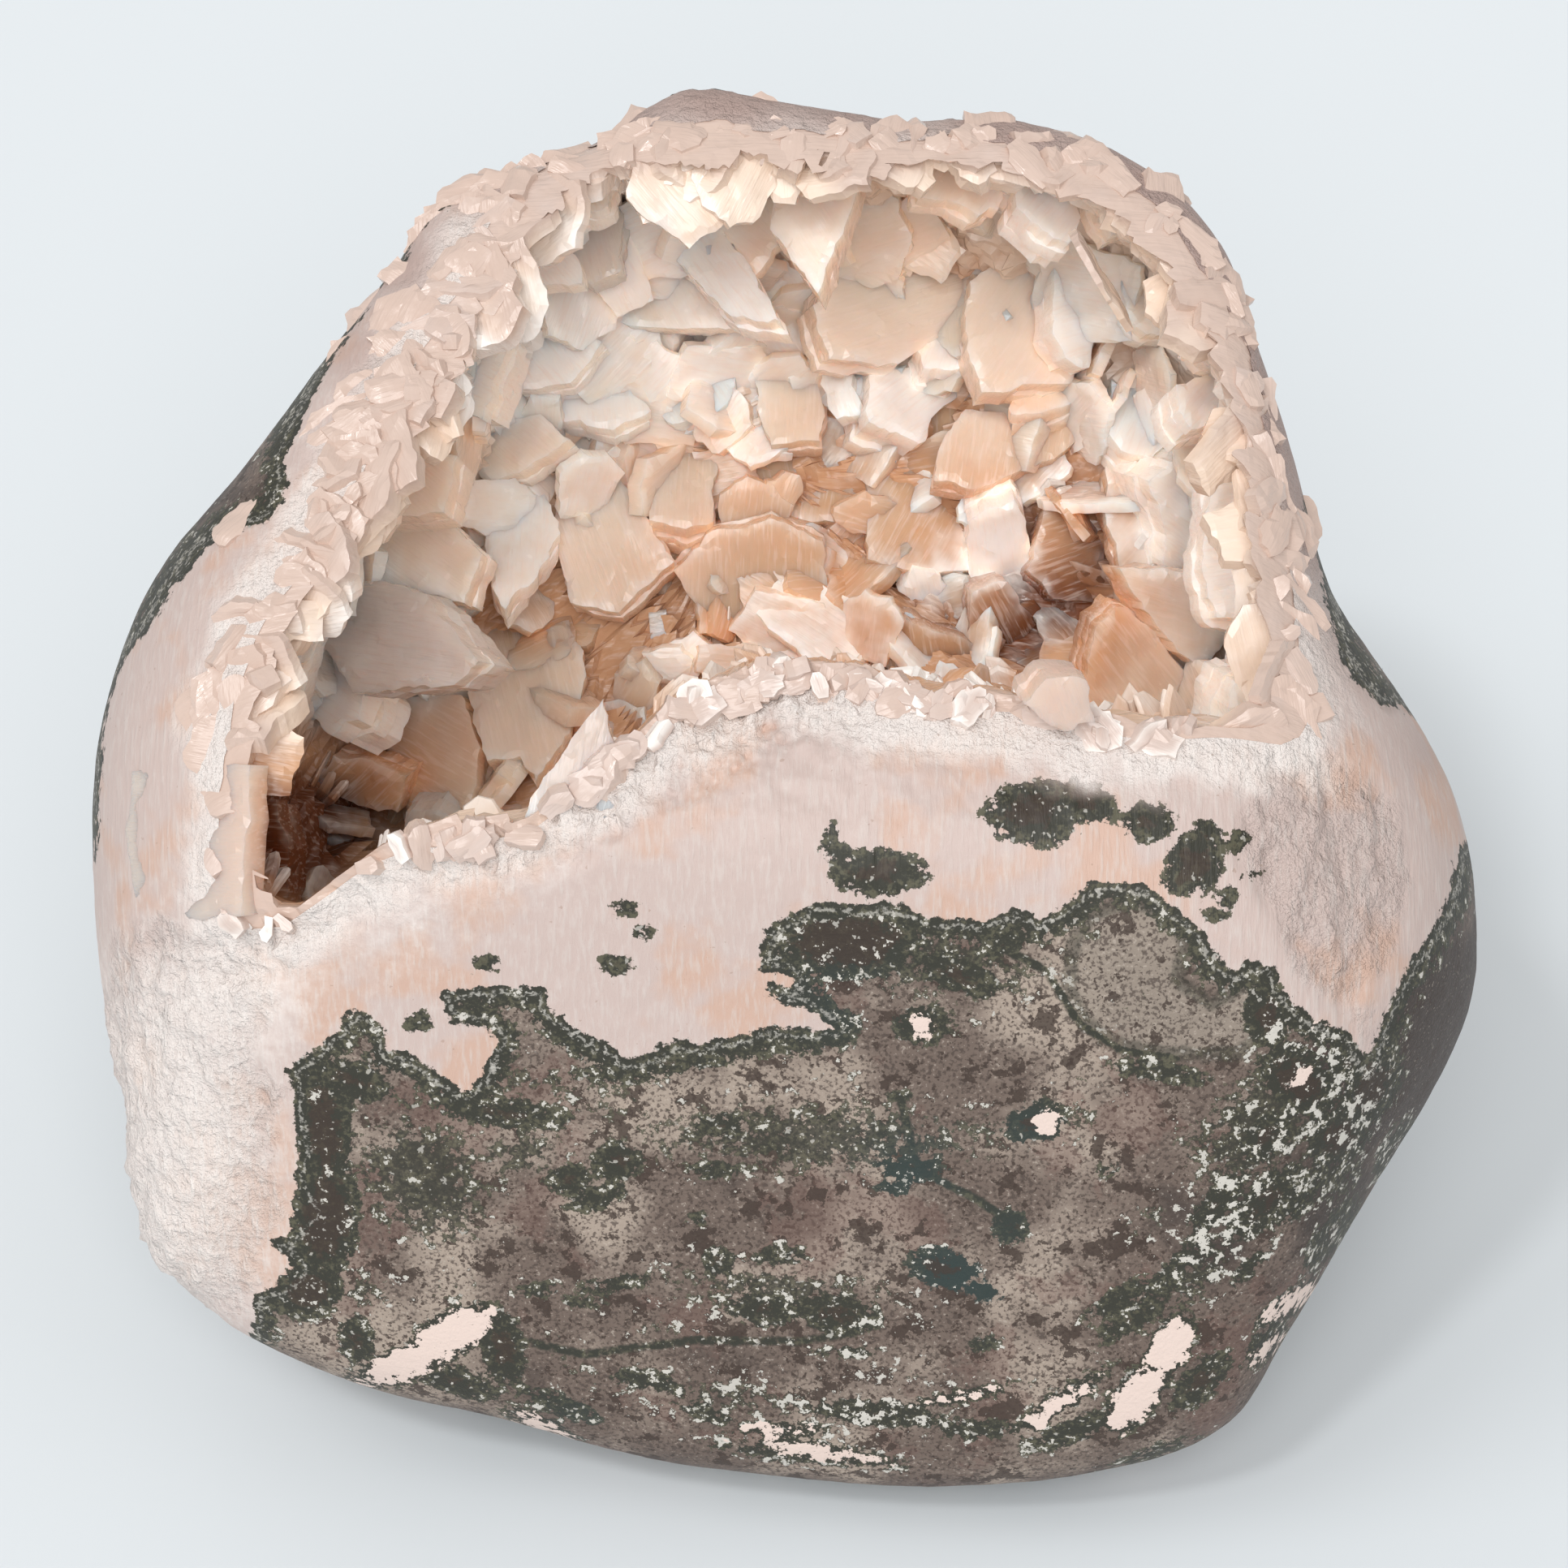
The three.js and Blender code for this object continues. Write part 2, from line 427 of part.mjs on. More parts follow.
// A crystal from its row: a slab on a tilted plane whose lowest corner lies in the hollow's wall,
// or whose plane passes just behind the lip at a pixel of it.
function plate([direction, degrees, thickness, numbers, lipPixel]) {
  const slope = Math.tan(THREE.MathUtils.degToRad(degrees));
  const turn = THREE.MathUtils.degToRad(direction);
  const [alongRight, alongUp] = [Math.cos(turn) * slope, Math.sin(turn) * slope];
  const pixels = numbers.flatMap((x, i) => (i % 2 === 0 ? [[x, numbers[i + 1]]] : []));
  const flat = pixels.map((pixel) => new THREE.Vector2(...pixelPlace(pixel)));
  const outline = THREE.ShapeUtils.isClockWise(flat) ? pixels.reverse() : pixels;
  const climb = ([across, up]) => across * alongRight + up * alongUp;
  const anchors = lipPixel ? [lipPixel] : outline;
  const depthAt = lipPixel ? frontSurface : hollowFloor;
  const gaps = anchors.map((pixel) => climb(pixelPlace(pixel)) - depthAt(pixel)[2]);
  const level = -ROOT_DEPTH - Math.min(...gaps);
  const front = outline.map((pixel) => {
    const near = level + climb(pixelPlace(pixel));
    return toWorld(...atDepth(pixelPlace(pixel), near), near);
  });
  const shift = new THREE.Vector3()
    .addScaledVector(RIGHT, alongRight)
    .addScaledVector(UP, alongUp)
    .sub(TO_EYE)
    .setLength(thickness);
  return slab(front, shift);
}

// A repeatable stream of numbers from 0 to 1.
function numberStream(seed) {
  let state = seed;
  return () => {
    state = (state * 1664525 + 1013904223) % 4294967296;
    return state / 4294967296;
  };
}

// Smaller five-sided plates all round the hollow, which rise from its wall towards its middle.
function fillerPlates() {
  const next = numberStream(FILLER_SEED);
  const between = ([low, high]) => low + (high - low) * next();
  return Array.from({ length: BOWL_FILLERS + WALL_FILLERS }, (_, i) => {
    const root =
      i < BOWL_FILLERS
        ? bowlPoint(between([0, 2 * Math.PI]), 0.3 + 0.66 * Math.sqrt(next()), ROOT_DEPTH / 2)
        : tubePoint(THREE.MathUtils.degToRad(between(WALL_TURN)), between(WALL_LEVELS), ROOT_DEPTH / 2);
    const inward = [HOLLOW_ACROSS - root[0], HOLLOW_UP - root[1], FLOOR_DEPTH / 2 - root[2]];
    const bent = inward.map((part) => part + between([-FLOOR_DEPTH, FLOOR_DEPTH]) / 2);
    const along = toWorld(...bent).sub(MIDDLE).normalize();
    const side = new THREE.Vector3().crossVectors(along, TO_EYE).normalize();
    side.applyAxisAngle(along, between([0, Math.PI]));
    const shift = new THREE.Vector3().crossVectors(along, side).setLength(between(FILLER_THICKNESS));
    const length = between(FILLER_LENGTH);
    const half = between(FILLER_HALF_WIDTH);
    const front = FILLER_OUTLINE.map(([forward, sideways]) =>
      toWorld(...root)
        .addScaledVector(along, forward * length)
        .addScaledVector(side, sideways * half),
    );
    return freeSlab(front, shift);
  });
}

// How finely the stone's surface is divided, and surfaces inside it that aren't seen.
const STONE_DETAIL = 6;
const INNER_DETAIL = 3;

const body = stone(0, STONE_DETAIL);
const space = hollow(0);

const basaltSolid = body.subtract(liningBlock(GAP)).subtract(space);
const liningSolid = body.intersect(liningBlock(0)).subtract(space);

const wall = stone(GAP, STONE_DETAIL).subtract(hollow(GAP));
const sheet = hollow(GAP / 2).subtract(hollow(CRUST_THICKNESS)).intersect(stone(-RIM_STEP, INNER_DETAIL));
const crystals = [...PLATES.map(plate), ...LIP_PLATES.map(plate), ...fillerPlates()];
const crustSolid = crystals.reduce((sum, crystal) => sum.add(crystal), sheet).subtract(wall);

// The largest body of a surface, as its triangles' corner numbers: what a cut leaves loose, such
// as the tip of a crystal beyond the rim, is dropped.
function largestBody(corners) {
  const parent = new Map();
  const top = (vertex) => {
    let found = vertex;
    while (parent.has(found)) found = parent.get(found);
    if (found !== vertex) parent.set(vertex, found);
    return found;
  };
  const join = (one, other) => {
    if (top(one) !== top(other)) parent.set(top(one), top(other));
  };
  for (let i = 0; i < corners.length; i += 3) {
    join(corners[i], corners[i + 1]);
    join(corners[i], corners[i + 2]);
  }
  const bodies = new Map();
  for (let i = 0; i < corners.length; i += 3) {
    const body = bodies.get(top(corners[i])) ?? [];
    body.push(corners[i], corners[i + 1], corners[i + 2]);
    bodies.set(top(corners[i]), body);
  }
  return [...bodies.values()].reduce((best, next) => (next.length > best.length ? next : best));
}

function namedMesh(name, solid, material) {
  const { vertProperties, triVerts } = solid.getMesh();
  const geometry = new THREE.BufferGeometry();
  geometry.setAttribute("position", new THREE.BufferAttribute(vertProperties, 3));
  geometry.setIndex(largestBody(triVerts));
  geometry.computeVertexNormals();
  const mesh = new THREE.Mesh(geometry, new THREE.MeshStandardMaterial(material));
  mesh.name = name;
  return mesh;
}

const geode = new THREE.Group();
geode.add(namedMesh("basalt_matrix", basaltSolid, { color: 0x8d7d76, roughness: 0.6 }));
geode.add(namedMesh("heulandite_lining", liningSolid, { color: 0xecd6cb, roughness: 0.55 }));
geode.add(namedMesh("crystal_crust", crustSolid, { color: 0xe0bfa4, roughness: 0.3 }));

export default geode;
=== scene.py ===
import math

import bmesh
import bpy
import numpy as np
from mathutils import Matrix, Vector, geometry, noise


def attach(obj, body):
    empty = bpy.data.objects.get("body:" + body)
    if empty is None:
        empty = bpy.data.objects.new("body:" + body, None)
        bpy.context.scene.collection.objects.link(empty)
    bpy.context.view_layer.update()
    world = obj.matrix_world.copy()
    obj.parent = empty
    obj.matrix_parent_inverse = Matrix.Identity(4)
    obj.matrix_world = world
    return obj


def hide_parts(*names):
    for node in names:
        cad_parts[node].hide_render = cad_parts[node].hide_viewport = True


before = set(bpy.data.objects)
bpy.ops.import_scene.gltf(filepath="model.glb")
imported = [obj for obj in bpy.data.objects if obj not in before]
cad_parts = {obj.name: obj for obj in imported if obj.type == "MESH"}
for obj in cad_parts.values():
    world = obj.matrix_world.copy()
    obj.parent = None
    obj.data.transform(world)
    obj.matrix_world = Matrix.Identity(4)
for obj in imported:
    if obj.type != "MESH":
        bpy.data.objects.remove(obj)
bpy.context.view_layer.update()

scene = bpy.context.scene

# CAMERA
# It looks down at the stone's front by 40 degrees. Places on this view are pixels of a square
# picture, and view coordinates are mm across, up and towards the eye from the stone's middle.

MM = 0.001
VIEW_TILT = math.radians(40)
EYE = 470  # mm from the stone's middle
PICTURE = 1932  # pixels
MM_PER_PIXEL = 0.0878
MIDDLE_PIXEL = (966, 965)
MIDDLE = np.array([0, 0, 62])
RIGHT = np.array([1, 0, 0])
UP = np.array([0, math.sin(VIEW_TILT), math.cos(VIEW_TILT)])
TO_EYE = np.array([0, -math.cos(VIEW_TILT), math.sin(VIEW_TILT)])


def to_view(points):
    """View coordinates of places in mm."""
    offset = points - MIDDLE
    return np.stack([offset @ RIGHT, offset @ UP, offset @ TO_EYE], axis=-1)


def to_world(places):
    """The places in mm of view coordinates."""
    across, up, near = np.moveaxis(np.asarray(places, float), -1, 0)
    return MIDDLE + across[..., None] * RIGHT + up[..., None] * UP + near[..., None] * TO_EYE


def pixels_of(places):
    """Where the eye sees view coordinates on the picture."""
    share = 1 - places[..., 2] / EYE
    x = MIDDLE_PIXEL[0] + places[..., 0] / share / MM_PER_PIXEL
    y = MIDDLE_PIXEL[1] - places[..., 1] / share / MM_PER_PIXEL
    return np.stack([x, y], axis=-1)


def pixel_place(pixels):
    """Across and up of pixels at the depth of the stone's middle."""
    pixels = np.asarray(pixels, float)
    x, y = pixels[..., 0], pixels[..., 1]
    return np.stack([x - MIDDLE_PIXEL[0], MIDDLE_PIXEL[1] - y], axis=-1) * MM_PER_PIXEL


def at_depth(flat, near):
    """View coordinates of what is seen at a place of the middle's depth, at another depth."""
    flat, near = np.asarray(flat, float), np.asarray(near, float)
    return np.concatenate([flat * (1 - near / EYE)[..., None], near[..., None]], axis=-1)


camera = bpy.data.objects.new("camera", bpy.data.cameras.new("camera"))
camera.data.sensor_width = 36
camera.data.lens = camera.data.sensor_width * EYE / (PICTURE * MM_PER_PIXEL)
camera.location = MM * (MIDDLE + EYE * TO_EYE)
camera.rotation_euler = (math.pi / 2 - VIEW_TILT, 0, 0)
scene.collection.objects.link(camera)
scene.camera = camera

# FLOOR AND LIGHT
# A plain pale table top in a bright even room, with a soft lamp above the left, a broad one before
# the stone and a small sharp one that puts sparks on the crystals.


class Wire:
    """An output socket of a material. Arithmetic on it adds Math nodes, and node() any other."""

    def __init__(self, tree, socket=None):
        self.tree, self.socket = tree, socket

    def node(self, kind, settings, inputs, output=0):
        made = self.tree.nodes.new("ShaderNode" + kind)
        for name, value in settings.items():
            setattr(made, name, value)
        for name, value in inputs.items():
            if isinstance(value, Wire):
                self.tree.links.new(value.socket, made.inputs[name])
            elif isinstance(value, tuple) and made.inputs[name].type == "RGBA":
                made.inputs[name].default_value = (*value, 1)
            else:
                made.inputs[name].default_value = value
        return Wire(self.tree, made.outputs[output] if made.outputs else None)

    def math(self, operation, *values):
        return self.node("Math", {"operation": operation}, dict(enumerate(values)))

    def __add__(self, other):
        return self.math("ADD", self, other)

    def __radd__(self, other):
        return self.math("ADD", other, self)

    def __sub__(self, other):
        return self.math("SUBTRACT", self, other)

    def __rsub__(self, other):
        return self.math("SUBTRACT", other, self)

    def __mul__(self, other):
        return self.math("MULTIPLY", self, other)

    def __abs__(self):
        return self.math("ABSOLUTE", self)

    def above(self, low, high):
        """0 below one value, 1 above the other, smooth between them."""
        ends = {"Value": self, "From Min": low, "From Max": high}
        return self.node("MapRange", {"interpolation_type": "SMOOTHSTEP"}, ends)

    def most(self, other):
        return self.math("MAXIMUM", self, other)

    def field(self, name):
        """A number that the mesh carries at its corners."""
        return self.node("Attribute", {"attribute_name": name}, {}, "Fac")

    def speckle(self, place, size, detail=3, roughness=0.55):
        """Cloudy noise from 0 to 1, its lumps size mm across."""
        settings = {"Vector": place, "Scale": 1 / size, "Detail": detail, "Roughness": roughness}
        return self.node("TexNoise", {}, settings)

    def mix(self, share, one, other):
        """From one colour to the other."""
        return self.node("Mix", {"data_type": "RGBA"}, {0: share, 6: one, 7: other}, 2)

    def paint(self, colour, *coats):
        """A colour with others laid over it in turn, each by its share."""
        for share, coat in coats:
            colour = self.mix(share, colour, coat)
        return colour

    def bump(self, height, depth):
        """The way a surface faces when it has a low relief, depth in mm."""
        return self.node("Bump", {}, {"Height": height, "Distance": depth * MM})

    def show(self, shade):
        """Ends the material with what light does at its surface."""
        self.node("OutputMaterial", {}, {"Surface": shade})


def finish(name):
    """A new material, and the wire that its nodes grow from."""
    material = bpy.data.materials.new(name)
    material.use_nodes = True
    material.node_tree.nodes.clear()
    return material, Wire(material.node_tree)


def srgb(red, green, blue):
    """A colour as it is read off a picture, 0 to 255, in the shader's own scale."""
    return tuple(((c / 255 + 0.055) / 1.055) ** 2.4 for c in (red, green, blue))


def new_piece(name, points, faces):
    """An object from points in mm and the numbers of each face's corners."""
    mesh = bpy.data.meshes.new(name)
    mesh.from_pydata(np.asarray(points) * MM, [], faces)
    made = bpy.data.objects.new(name, mesh)
    scene.collection.objects.link(made)
    return made


FLOOR_HALF = 900  # mm
FLOOR_COLOUR, FLOOR_ROUGHNESS = srgb(222, 228, 232), 0.8
ROOM_COLOUR, ROOM_STRENGTH = (1, 0.985, 0.97), 0.54

table_top, start = finish("table_top")
floor_looks = {"Base Color": FLOOR_COLOUR, "Roughness": FLOOR_ROUGHNESS}
start.show(start.node("BsdfPrincipled", {}, floor_looks))
corners = np.array([(-1, -1, 0), (1, -1, 0), (1, 1, 0), (-1, 1, 0)]) * FLOOR_HALF
floor = new_piece("floor", corners, [(0, 1, 2, 3)])
floor.data.materials.append(table_top)

LAMPS = {  # where each lamp stands as seen from the stone, its strength and its width in degrees
    "lamp_above_left": ((-0.55, -0.2, 0.8), 0.45, 26),
    "lamp_in_front": ((-0.02, -0.76, 0.65), 1.6, 40),
    "spark_lamp": ((-0.35, -0.45, 0.85), 0.5, 6),
}
for name, (towards, strength, width) in LAMPS.items():
    lamp = bpy.data.objects.new(name, bpy.data.lights.new(name, "SUN"))
    lamp.data.energy = strength
    lamp.data.angle = math.radians(width)
    lamp.rotation_euler = Vector(towards).to_track_quat("Z", "Y").to_euler()
    scene.collection.objects.link(lamp)
room = bpy.data.worlds.new("room")
room.use_nodes = True
glow = room.node_tree.nodes["Background"].inputs
glow["Color"].default_value = (*ROOM_COLOUR, 1)
glow["Strength"].default_value = ROOM_STRENGTH
scene.world = room
scene.view_settings.view_transform = "Standard"

# THE STONE'S SHAPE
# A rounded nodule of basalt, ground flat on its front and broken open across the top. These are
# the sizes of the part's solids, with a finer skin that stays just inside them.

# Its outline in the view: degrees from the right, mm from the middle.
OUTLINE = [
    (0, 71.7), (12, 64.9), (20, 62.4), (30, 64.2), (42, 69), (51, 75), (60, 77.8), (70, 77.1),
    (80, 73.9), (90, 75.1), (98, 77.4), (107, 72.8), (120, 73.6), (127, 69.8), (138, 67.2),
    (150, 67.4), (162, 71.2), (175, 73.6), (190, 75.2), (203, 78.2), (211, 82.2), (217, 85.4),
    (224, 83.8), (234, 80), (246, 75.5), (258, 75), (270, 75.7), (282, 78.4), (294, 81.8),
    (305, 84.8), (313, 81.3), (325, 78.8), (341, 80.3), (350, 76.6),
]
FRONT_DEPTH, BACK_DEPTH = 50, 60  # mm from the middle to the body's front and back
BODY_ROUNDNESS = 2.4
EDGE_SHARPNESS = 16

# Its ground and broken faces: degrees right of the front, degrees up, mm from the middle, and
# how rough each one is in mm. The body between them comes last.
FACES = [
    (-4, 12, 44, 0.06),  # the ground front
    (0, 68, 39.5, 0.75),  # the broken rim round the hollow
    (58, -4, 78, 0.1),  # the right shoulder
    (180, 8, 70, 0.8),  # the back
    (0, -90, 66, 0.3),  # the base
]
BODY_ROUGH_FRONT, BODY_ROUGH_BACK = 0.1, 0.8
SKIN_MARGIN = 0.4  # how far the skin starts inside the solids' own surface


def round_table(table):
    """A smooth closed curve through pairs of degrees and value, as a function of radians."""
    degrees, values = np.array(table, float).T
    spans = np.diff(np.append(degrees, degrees[0] + 360))
    slopes = (np.roll(values, -1) - np.roll(values, 1)) / (spans + np.roll(spans, 1))

    def curve(radians):
        angle = (np.degrees(radians) - degrees[0]) % 360 + degrees[0]
        i = np.searchsorted(degrees, angle, side="right") - 1
        j = (i + 1) % len(degrees)
        t = (angle - degrees[i]) / spans[i]
        first = (1 + 2 * t) * values[i] + t * spans[i] * slopes[i]
        last = (3 - 2 * t) * values[j] + (t - 1) * spans[i] * slopes[j]
        return (1 - t) ** 2 * first + t * t * last

    return curve


outline_radius = round_table(OUTLINE)
face_normals = []
for turn, rise, _, _ in FACES:
    turn, rise = math.radians(turn), math.radians(rise)
    flat = math.cos(rise)
    face_normals.append((math.sin(turn) * flat, -math.cos(turn) * flat, math.sin(rise)))
face_normals = np.array(face_normals)


def stone_surface(directions):
    """How far the surface is from the middle along each direction, and how rough it is there."""
    across, up, near = directions @ RIGHT, directions @ UP, directions @ TO_EYE
    flat = np.hypot(across, up) / outline_radius(np.arctan2(up, across))
    deep = np.abs(near) / np.where(near > 0, FRONT_DEPTH, BACK_DEPTH)
    body = (flat**BODY_ROUNDNESS + deep**BODY_ROUNDNESS) ** (1 / BODY_ROUNDNESS)
    distances = np.array([face[2] for face in FACES])
    pushes = np.maximum(0, directions @ face_normals.T) / distances
    terms = np.column_stack([pushes, body]) ** EDGE_SHARPNESS
    total = terms.sum(axis=1)
    body_rough = np.where(near > 0, BODY_ROUGH_FRONT, BODY_ROUGH_BACK)
    roughs = np.column_stack([np.tile([face[3] for face in FACES], (len(near), 1)), body_rough])
    return total ** (-1 / EDGE_SHARPNESS), (terms * roughs).sum(axis=1) / total


def reaches(offsets):
    """How far offsets from the middle reach, and how far the smooth stone does that way."""
    reach = np.linalg.norm(offsets, axis=1)
    return reach, stone_surface(offsets / reach[:, None])[0]


def unit(vector):
    """The vector at a length of 1."""
    return vector / np.linalg.norm(vector)


def cloud(points, size, octaves=4, seed=0.0):
    """Fractal noise of about -1 to 1 at each point, its lumps size mm across."""
    scaled = np.asarray(points) / size + seed
    return np.array([noise.fractal(p, 0.8, 2.1, octaves) for p in scaled.tolist()])


def smooth_step(low, high, value):
    """0 at the low value, 1 at the high one, smooth between them."""
    t = np.clip((value - low) / (high - low), 0, 1)
    return t * t * (3 - 2 * t)


def inside_distance(pixels, outline):
    """Pixels from each place to a closed outline, positive inside it."""
    first = np.asarray(outline, float)
    step = np.roll(first, -1, axis=0) - first
    made = []
    for part in np.array_split(pixels, len(pixels) // 4000 + 1):
        away = part[:, None] - first
        t = np.clip((away * step).sum(axis=2) / (step * step).sum(axis=1), 0, 1)
        nearest = np.linalg.norm(away - t[..., None] * step, axis=2).min(axis=1)
        passed = (away[..., 1] < 0) != (away[..., 1] < step[:, 1])
        across = away[..., 1] * step[:, 0] * np.sign(step[:, 1])
        on_left = away[..., 0] * np.abs(step[:, 1]) < across
        made.append(np.where((passed & on_left).sum(axis=1) % 2, nearest, -nearest))
    return np.concatenate(made)


def geodesic(steps):
    """Directions and triangles of a ball whose icosahedron sides are cut into equal steps."""
    start = bmesh.new()
    bmesh.ops.create_icosphere(start, subdivisions=1, radius=1)
    points, triangles = [], []
    for face in start.faces:
        a, b, c = (np.array(corner.co) for corner in face.verts)
        first = len(points)
        row_start = [first + i * (steps + 1) - i * (i - 1) // 2 for i in range(steps + 2)]
        for i in range(steps + 1):
            for j in range(steps + 1 - i):
                points.append(a + (b - a) * (i / steps) + (c - a) * (j / steps))
                if i + j < steps:
                    at, over = row_start[i] + j, row_start[i + 1] + j
                    triangles.append((at, over, at + 1))
                    if i + j < steps - 1:
                        triangles.append((over, over + 1, at + 1))
    start.free()
    points = np.array(points)
    points /= np.linalg.norm(points, axis=1)[:, None]
    _, kept, renamed = np.unique(points.round(6), axis=0, return_index=True, return_inverse=True)
    return points[kept], renamed.ravel()[np.array(triangles)]


# Broken places of the ground surface, in pixels: cleaved fibres at the right, and the coarse
# crystalline mass at the lower left. The hollow's edge is given where the hollow is made.
TORN_RIGHT = [
    (1530, 925), (1600, 915), (1680, 935), (1735, 990), (1750, 1080), (1735, 1150), (1700, 1215),
    (1694, 1290), (1670, 1285), (1630, 1240), (1590, 1200), (1560, 1130), (1520, 1060),
]
TORN_LEFT = [
    (150, 1120), (250, 1130), (330, 1150), (345, 1230), (330, 1300), (352, 1340), (345, 1420),
    (350, 1500), (330, 1560), (310, 1620), (120, 1650), (90, 1300),
]
FROSTED_LIP = [
    (190, 1190), (290, 1130), (400, 1075), (430, 1050), (560, 1020), (640, 985), (750, 930),
    (830, 870), (960, 826), (1070, 836), (1070, 900), (960, 935), (860, 990), (790, 1030),
    (700, 1075), (600, 1095), (480, 1130), (400, 1170), (310, 1230), (210, 1250),
]
STONE_STEPS, CORE_STEPS, SPACE_STEPS = 100, 20, 24  # along each side of the ball they start from
CLOSER_IN_FRONT = 0.4  # how much denser the mesh is where the camera looks
RIGHT_END = 75.13  # mm, where the stone ends on the right
FIBRE_STRETCH = (1, 0.22, 0.4)
# How high the waves and the pits of each relief are, and how far it lies in, in mm. The rough
# one counts as often as its face is rough.
ROUGH_RELIEF, TORN_RELIEF, FROSTED_RELIEF = (0.7, 0.45, 0.45), (0.7, 0.5, 0.6), (1.1, 0.8, 0.7)


def torn_distance(pixels):
    """Pixels from each place to the nearer torn outline, positive inside it."""
    return np.maximum(inside_distance(pixels, TORN_RIGHT), inside_distance(pixels, TORN_LEFT))


def skin(steps, grow, relief):
    """The whole stone as if it had no hollow, on its flat base: points in mm and triangles."""
    directions, triangles = geodesic(steps)
    directions = directions + CLOSER_IN_FRONT * TO_EYE
    directions /= np.linalg.norm(directions, axis=1)[:, None]
    radius, rough = stone_surface(directions)
    radius = radius + grow
    if relief:
        points = MIDDLE + directions * radius[:, None]
        places = to_view(points)
        pixels = pixels_of(places)
        in_front = places[:, 2] > 0
        torn = smooth_step(-10, 40, torn_distance(pixels)) * in_front
        frosted = smooth_step(-10, 30, inside_distance(pixels, FROSTED_LIP)) * in_front
        fibres = cloud(places * FIBRE_STRETCH, 2.2, 3, 7.0)
        pits = cloud(points, 2.4, 4, 3.0)
        for share, waves, (wave_height, pit_depth, inset) in (
            (rough, cloud(points, 9, 5), ROUGH_RELIEF),
            (torn, fibres, TORN_RELIEF),
            (frosted, cloud(points, 4, 3, 8.0), FROSTED_RELIEF),
        ):
            radius += share * (wave_height * waves + pit_depth * pits - inset)
    points = MIDDLE + directions * radius[:, None]
    points[:, 0] = np.minimum(points[:, 0], RIGHT_END)
    points[:, 2] = np.maximum(points[:, 2], 0)
    return points, triangles


# THE HOLLOW AND THE LINING'S SPACE
# The hollow is a bowl behind the rim and a tube before it, cut back under the front wall's lip.
# The lining takes a layer round it, and comes to the surface in the outline that is traced here.

HOLLOW_PIXEL = (960, 560)
HOLLOW_OUTLINE = [
    (1568, 540), (1540, 440), (1485, 330), (1425, 256), (1340, 206), (1190, 166), (1080, 172),
    (960, 158), (860, 152), (765, 170), (640, 225), (585, 320), (515, 450), (450, 565),
    (370, 695), (315, 790), (286, 880), (290, 1125), (355, 1138), (424, 1078), (556, 1038),
    (636, 1030), (752, 945), (830, 884), (900, 858), (960, 840), (1060, 848), (1120, 868),
    (1245, 874), (1345, 902), (1506, 908), (1600, 906), (1604, 830), (1588, 690),
]
# Levels are mm before the stone's middle.
RIM_LEVEL = -8
FLOOR_DEPTH = 27  # mm below the rim
FLOOR_ROUNDNESS = 2.6
POCKET_PIXEL, POCKET_DEPTH, POCKET_REACH = (400, 980), 15, 17
UNDERCUT_TOWARDS, UNDERCUT_SPREAD = 266, 60  # degrees from the right
UNDERCUT_REACH = 15  # mm
UNDERCUT_FROM, UNDERCUT_TO = 26, 4
MOUTH_LEVEL = 75
LINING_THICKNESS = 9
SURFACE_LINING_DEPTH = 11
BASALT_SKIN = 2.2  # mm of basalt that stay round the lining
LINING_BACK_LEVEL, LINING_FRONT_LEVEL = -1.5, 90
LINING_OUTLINE = [
    (584, 240), (536, 260), (517, 283), (498, 329), (463, 356), (437, 398), (414, 436),
    (379, 505), (368, 520), (349, 566), (356, 589), (354, 612), (330, 643), (295, 650),
    (276, 654), (249, 677), (211, 722), (192, 764), (157, 807), (138, 849), (127, 906),
    (123, 983), (110, 1110), (60, 1230), (120, 1660), (309, 1648), (314, 1591), (345, 1587),
    (368, 1565), (337, 1530), (368, 1511), (383, 1499), (364, 1450), (372, 1423), (360, 1344),
    (353, 1318), (383, 1295), (414, 1268), (425, 1249), (452, 1243), (477, 1268), (477, 1291),
    (513, 1298), (544, 1321), (571, 1344), (594, 1329), (613, 1279), (594, 1264), (555, 1260),
    (544, 1226), (586, 1218), (632, 1214), (678, 1218), (677, 1237), (711, 1268), (753, 1291),
    (776, 1306), (799, 1298), (830, 1281), (875, 1283), (914, 1275), (944, 1264), (1002, 1268),
    (1025, 1264), (994, 1245), (967, 1233), (942, 1218), (948, 1210), (983, 1214), (971, 1199),
    (933, 1195), (933, 1168), (952, 1138), (1006, 1111), (1059, 1115), (1101, 1111),
    (1151, 1130), (1212, 1135), (1253, 1119), (1279, 1130), (1314, 1114), (1345, 1084),
    (1386, 1086), (1427, 1096), (1457, 1124), (1483, 1150), (1498, 1178), (1523, 1196),
    (1534, 1183), (1569, 1188), (1577, 1216), (1610, 1247), (1636, 1262), (1666, 1278),
    (1687, 1318), (1694, 1278), (1710, 1237), (1728, 1201), (1758, 1155), (1786, 1104),
    (1794, 1048), (1880, 980), (1720, 868), (1700, 871), (1674, 844), (1651, 802), (1643, 768),
    (1632, 730), (1624, 687), (1609, 642), (1603, 611), (1700, 400), (1500, 60), (800, -20),
]

hollow_centre = pixel_place(HOLLOW_PIXEL)
pocket_place = pixel_place(POCKET_PIXEL)
steps_out = pixel_place(HOLLOW_OUTLINE) - hollow_centre
hollow_angles = np.degrees(np.arctan2(steps_out[:, 1], steps_out[:, 0])) % 360
hollow_radius = round_table(np.column_stack([hollow_angles, np.linalg.norm(steps_out, axis=1)]))


